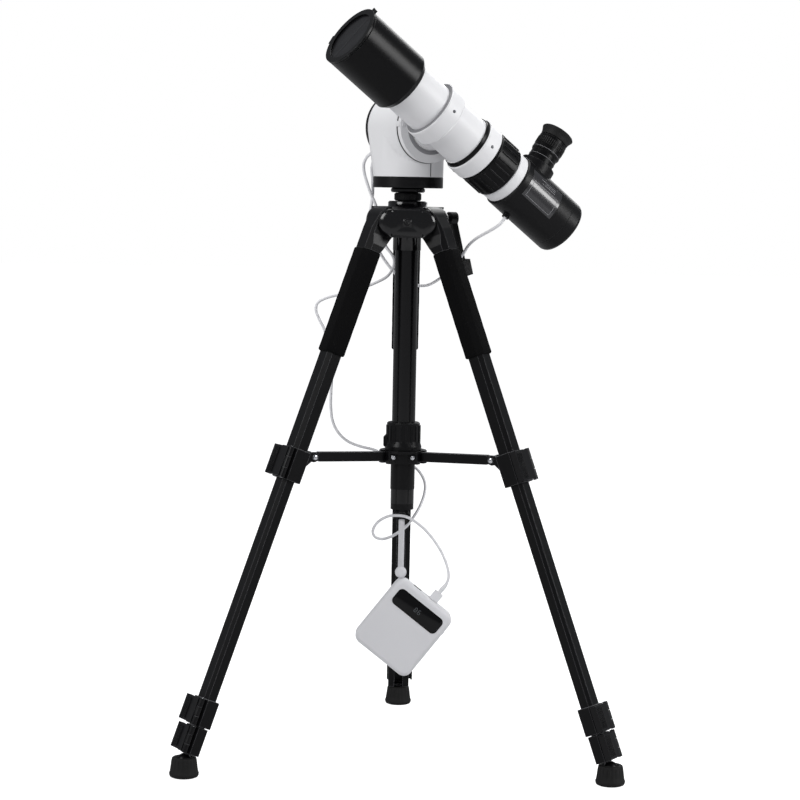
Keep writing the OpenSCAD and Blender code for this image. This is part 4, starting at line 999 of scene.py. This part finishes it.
# ---- Power bank ----
# Soft-touch white shell with round corners, a black gloss window with dim figures, a button on its side
# and two ports in its top edge. It hangs by one corner.
BANK_TURN = 38.0
BANK_CORNER_R = 0.009
EDGE_R = 0.0045
WINDOW_UP = 0.0226
bank_white = finish_of(
    "bank_shell", (0.74, 0.74, 0.76), 0.52, grain=1900.0, depth=0.00004, edge_highlight=0.0, mottle=0.03,
    mottle_scale=20.0, dust=0.08,
)
window_gloss = finish_of(
    "window_gloss", (0.002, 0.002, 0.0025), 0.10, grain=500.0, depth=0.000005, radius=0.0004, edge_highlight=0.05,
    dust=0.02, shine=0.25,
)
figure_grey = finish_of("figure_grey", (0.10, 0.11, 0.12), 0.5, depth=0.00001, radius=0.0001, edge_highlight=0.0)
port_black = finish_of(
    "port_black", (0.02, 0.02, 0.022), 0.45, grain=1200.0, depth=0.00002, radius=0.0003, edge_highlight=0.2,
)

bank_low, bank_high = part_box("power_bank")
window_low, window_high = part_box("bank_display")
bank_turn = Matrix.Rotation(math.radians(BANK_TURN), 4, "Y")
bank_centre = (window_low + window_high) / 2 - bank_turn @ Vector((0, 0, WINDOW_UP))
bank_centre.y = (bank_low.y + bank_high.y) / 2
bank_place = Matrix.Translation(bank_centre) @ bank_turn
bank_half = Vector((0.03475, (bank_high.y - bank_low.y) / 2, 0.0397))


def round_slab(half_w, half_h, corner, steps=8):
    """Outline of a slab with round corners, in the XZ plane."""
    points = []
    for k, (sx, sz) in enumerate(((1, 1), (-1, 1), (-1, -1), (1, -1))):
        for s in range(steps + 1):
            angle = math.radians(90 * (k + s / steps))
            points.append((sx * (half_w - corner) + corner * math.cos(angle),
                           sz * (half_h - corner) + corner * math.sin(angle)))
    return points


# A ring of points for each depth: the slab's edge is a quarter circle between its side and its face.
rings = []
depth = bank_half.y
for angle in [math.radians(90 * (k / 6)) for k in range(7)]:
    inset = EDGE_R * (1 - math.sin(angle))
    y = -depth + EDGE_R * (1 - math.cos(angle))
    outline = round_slab(bank_half.x - inset, bank_half.z - inset, BANK_CORNER_R - inset)
    rings.append([(x, y, z) for x, z in outline])
rings += [[(x, -y, z) for x, y, z in ring] for ring in rings[::-1]]
piece_of("bank_shell", loft(rings, bank_place), bank_white, "stand", "bank_white", "power_bank", smooth=40)

glass_rings = []
for inset, out in ((0.0, -0.0005), (0.0, 0.0002), (0.0004, 0.00045)):
    outline = round_slab(0.02795 - inset, 0.0092 - inset, 0.005 - inset)
    glass_rings.append([(x, -depth - out, z + WINDOW_UP) for x, z in outline])
piece_of("bank_window", loft(glass_rings, bank_place), window_gloss, "stand", "display_black", "bank_display")

SEGMENTS = {"8": "abcdefg", "6": "acdefg"}
STROKES = {"a": (0, 1, 0), "b": (1, 0.5, 1), "c": (1, -0.5, 1), "d": (0, -1, 0), "e": (-1, -0.5, 1),
           "f": (-1, 0.5, 1), "g": (0, 0, 0)}
FIGURE = (0.0012, 0.0022)
SQUARE = ((-1, -1), (1, -1), (1, 1), (-1, 1))
figures = []
for number, shift in (("8", -0.0022), ("6", 0.0022)):
    for stroke in SEGMENTS[number]:
        sx, sz, upright = STROKES[stroke]
        half = (0.00022, 0.0009) if upright else (0.0009, 0.00022)
        x, z = shift + sx * FIGURE[0], WINDOW_UP + sz * FIGURE[1]
        bar = [(x + i * half[0], z + k * half[1]) for i, k in SQUARE]
        figures.append(
            loft([[(px, -depth - out, pz) for px, pz in bar] for out in (0.00048, 0.0003)], bank_place),
        )
piece_of("window_figures", joined(figures), figure_grey, "stand", "display_black", smooth=0)

# button on the side, and the dark mouths of the two ports
button = [(0.0001, 0.0012), (0.0022, 0.0011), (0.0028, 0.0006), (0.0029, -0.001)]
button_turn = Matrix.Rotation(math.radians(90), 4, "Y")
button_place = bank_place @ Matrix.Translation((bank_half.x, 0, 0.020)) @ button_turn
piece_of("bank_button", loft(turned_rings(button, 32), button_place), bank_white, "stand", "bank_white")
ports = []
PORT = (0.0048, 0.0025)
for shift in (0.0065, -0.0135):
    mouth = [[(shift + PORT[0] * sx * share, PORT[1] * sy * share, bank_half.z + rise) for sx, sy in SQUARE]
             for share, rise in ((1, -0.002), (1, 0.0002), (1 - 0.12, 0.0003))]
    ports.append(loft(mouth, bank_place))
piece_of("bank_ports", joined(ports), port_black, "stand", "display_black", smooth=0)

# ---- Plug ----
# Moulded plug of the power cable, with a tapered relief that grips the cable.
plug_white = finish_of(
    "plug_shell", (0.78, 0.78, 0.80), 0.36, grain=1400.0, depth=0.00002, radius=0.0007, edge_highlight=0.0,
    mottle=0.03, dust=0.05,
)
cad_finish(plug_white, "usb_plug")
tail, tail_ways = power_path[-9:], power_ways[-9:]
relief = swept_tube(tail, tail_ways, [0.0016 + 0.0009 * k / 8 for k in range(9)], 20)
piece_of("plug_relief", relief, plug_white, "stand", "plug_white")

# ---- Wrist strap ----
# Flat woven lanyard: two strands over the hook, a row of stitches below it, and a snap button.
STRAP_W = 0.006
STRAP_T = 0.0012


def make_weave():
    """Plain weave by Object coordinates: crossing ridges for height and a mask between the yarns, where
    painted shade goes.
    """
    group, given, result = new_group(
        "plain_weave", "ShaderNodeTree", {"Yarn": 0.0006}, {"Height": "Float", "Gap": "Float"}
    )
    place = object_place(group)
    split = add_node(group, "ShaderNodeSeparateXYZ", {"Vector": place})
    waves = []
    for axis in "XZ":
        count = math_node(group, "DIVIDE", split.outputs[axis], given.outputs["Yarn"])
        turn = math_node(group, "MULTIPLY", count, math.tau)
        waves.append(math_node(group, "SINE", turn, 0.0))
    height = math_node(group, "MULTIPLY", waves[0], waves[1])
    lifted = math_node(group, "ADD", height, 1.0)
    half = math_node(group, "MULTIPLY", lifted, 0.5)
    gap = math_node(group, "LESS_THAN", half, 0.12)
    wire(group, result, {"Height": half, "Gap": gap})
    return group


strap_cloth, cloth_tree, cloth = new_material("strap_weave")
weave = add_node(cloth_tree, "ShaderNodeGroup", node_tree=make_weave())
weave.inputs["Yarn"].default_value = 0.0011
# the darker grey between the yarns is painted shade in the weave's hollows
threads = mix_node(cloth_tree, (0.80, 0.80, 0.82, 1), (0.55, 0.55, 0.58, 1), weave.outputs["Gap"])
cloth_bump = add_node(cloth_tree, "ShaderNodeBump", {"Distance": 0.00025, "Height": weave.outputs["Height"]})
wire(cloth_tree, cloth, {"Base Color": threads, "Roughness": 0.85, "Normal": cloth_bump.outputs["Normal"]})

strap_low, strap_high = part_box("strap")
over = (strap_high.y - strap_low.y) / 2
loop_top = strap_high.z - over
BUTTON_R = 0.0058
TAB_DROP = 0.012
TAB_W = 0.004
button_z = strap_low.z + TAB_DROP
middle_y = (strap_high.y + strap_low.y) / 2
half_t = STRAP_T / 2
bend = over - half_t
line = [(0.0009, button_z + 0.001)]
line += [(bend * math.cos(a), loop_top + bend * math.sin(a)) for a in (math.pi * s / 14 for s in range(15))]
line += [(-0.0009, button_z + 0.001)]


def flat_band(points, width, thick):
    """A flat strap with soft edges along a line that stays in a plane across X."""
    half, soft = width / 2, width / 2 - 0.0004
    section = [(half, 0.3), (soft, 1), (-soft, 1), (-half, 0.3)]
    section += [(-x, -share) for x, share in section]
    rings = []
    for k, point in enumerate(points):
        way = (points[min(k + 1, len(points) - 1)] - points[max(k - 1, 0)]).normalized()
        off = way.cross(Vector((1, 0, 0)))
        rings.append([point + Vector((x, 0, 0)) + off * share * thick / 2 for x, share in section])
    return skinned(rings)


tab = [(0, button_z - drop) for drop in (0, TAB_DROP / 2, TAB_DROP)]
strands = [flat_band([Vector((COLUMN.x, middle_y + y, z)) for y, z in route], width, STRAP_T)
           for route, width in ((line, STRAP_W), (tab, TAB_W))]
band_shape = joined(strands)
piece_of("strap_band", band_shape, strap_cloth, "stand", "strap_white", "strap", smooth=50)

STITCH = (0.0030, 0.0004, 0.0005)
STITCH_PITCH = 0.0013
stitch_z = button_z + 0.0085
for way, label in ((-1, "front"), (1, "back")):
    slope = (over - STRAP_T - 0.0003) / (loop_top - button_z)
    y = middle_y + way * (0.0009 + half_t + slope * 0.010)
    row = {"Count": 4, "Start": (COLUMN.x, y, stitch_z), "Size": STITCH,
           "Pitch": (0, way * slope * STITCH_PITCH, STITCH_PITCH)}
    ribs_piece("stitches_" + label, RIB_ROW, Matrix.Identity(4), row, strap_cloth, "stand", "strap_white")
snap = [(0.0001, 0.0034), (0.0030, 0.0033), (0.0042, 0.0029), (0.0046, 0.0023), (0.0052, 0.0023),
        (BUTTON_R - 0.0002, 0.0018), (BUTTON_R, 0.0010), (BUTTON_R, -0.0010), (BUTTON_R - 0.0002, -0.0018),
        (0.0046, -0.0023), (0.0042, -0.0029), (0.0001, -0.0032)]
snap_place = Matrix.Translation((COLUMN.x, middle_y, button_z)) @ Matrix.Rotation(math.radians(90), 4, "X")
piece_of("snap_button", loft(turned_rings(snap, 48), snap_place), plug_white, "stand", "strap_white")
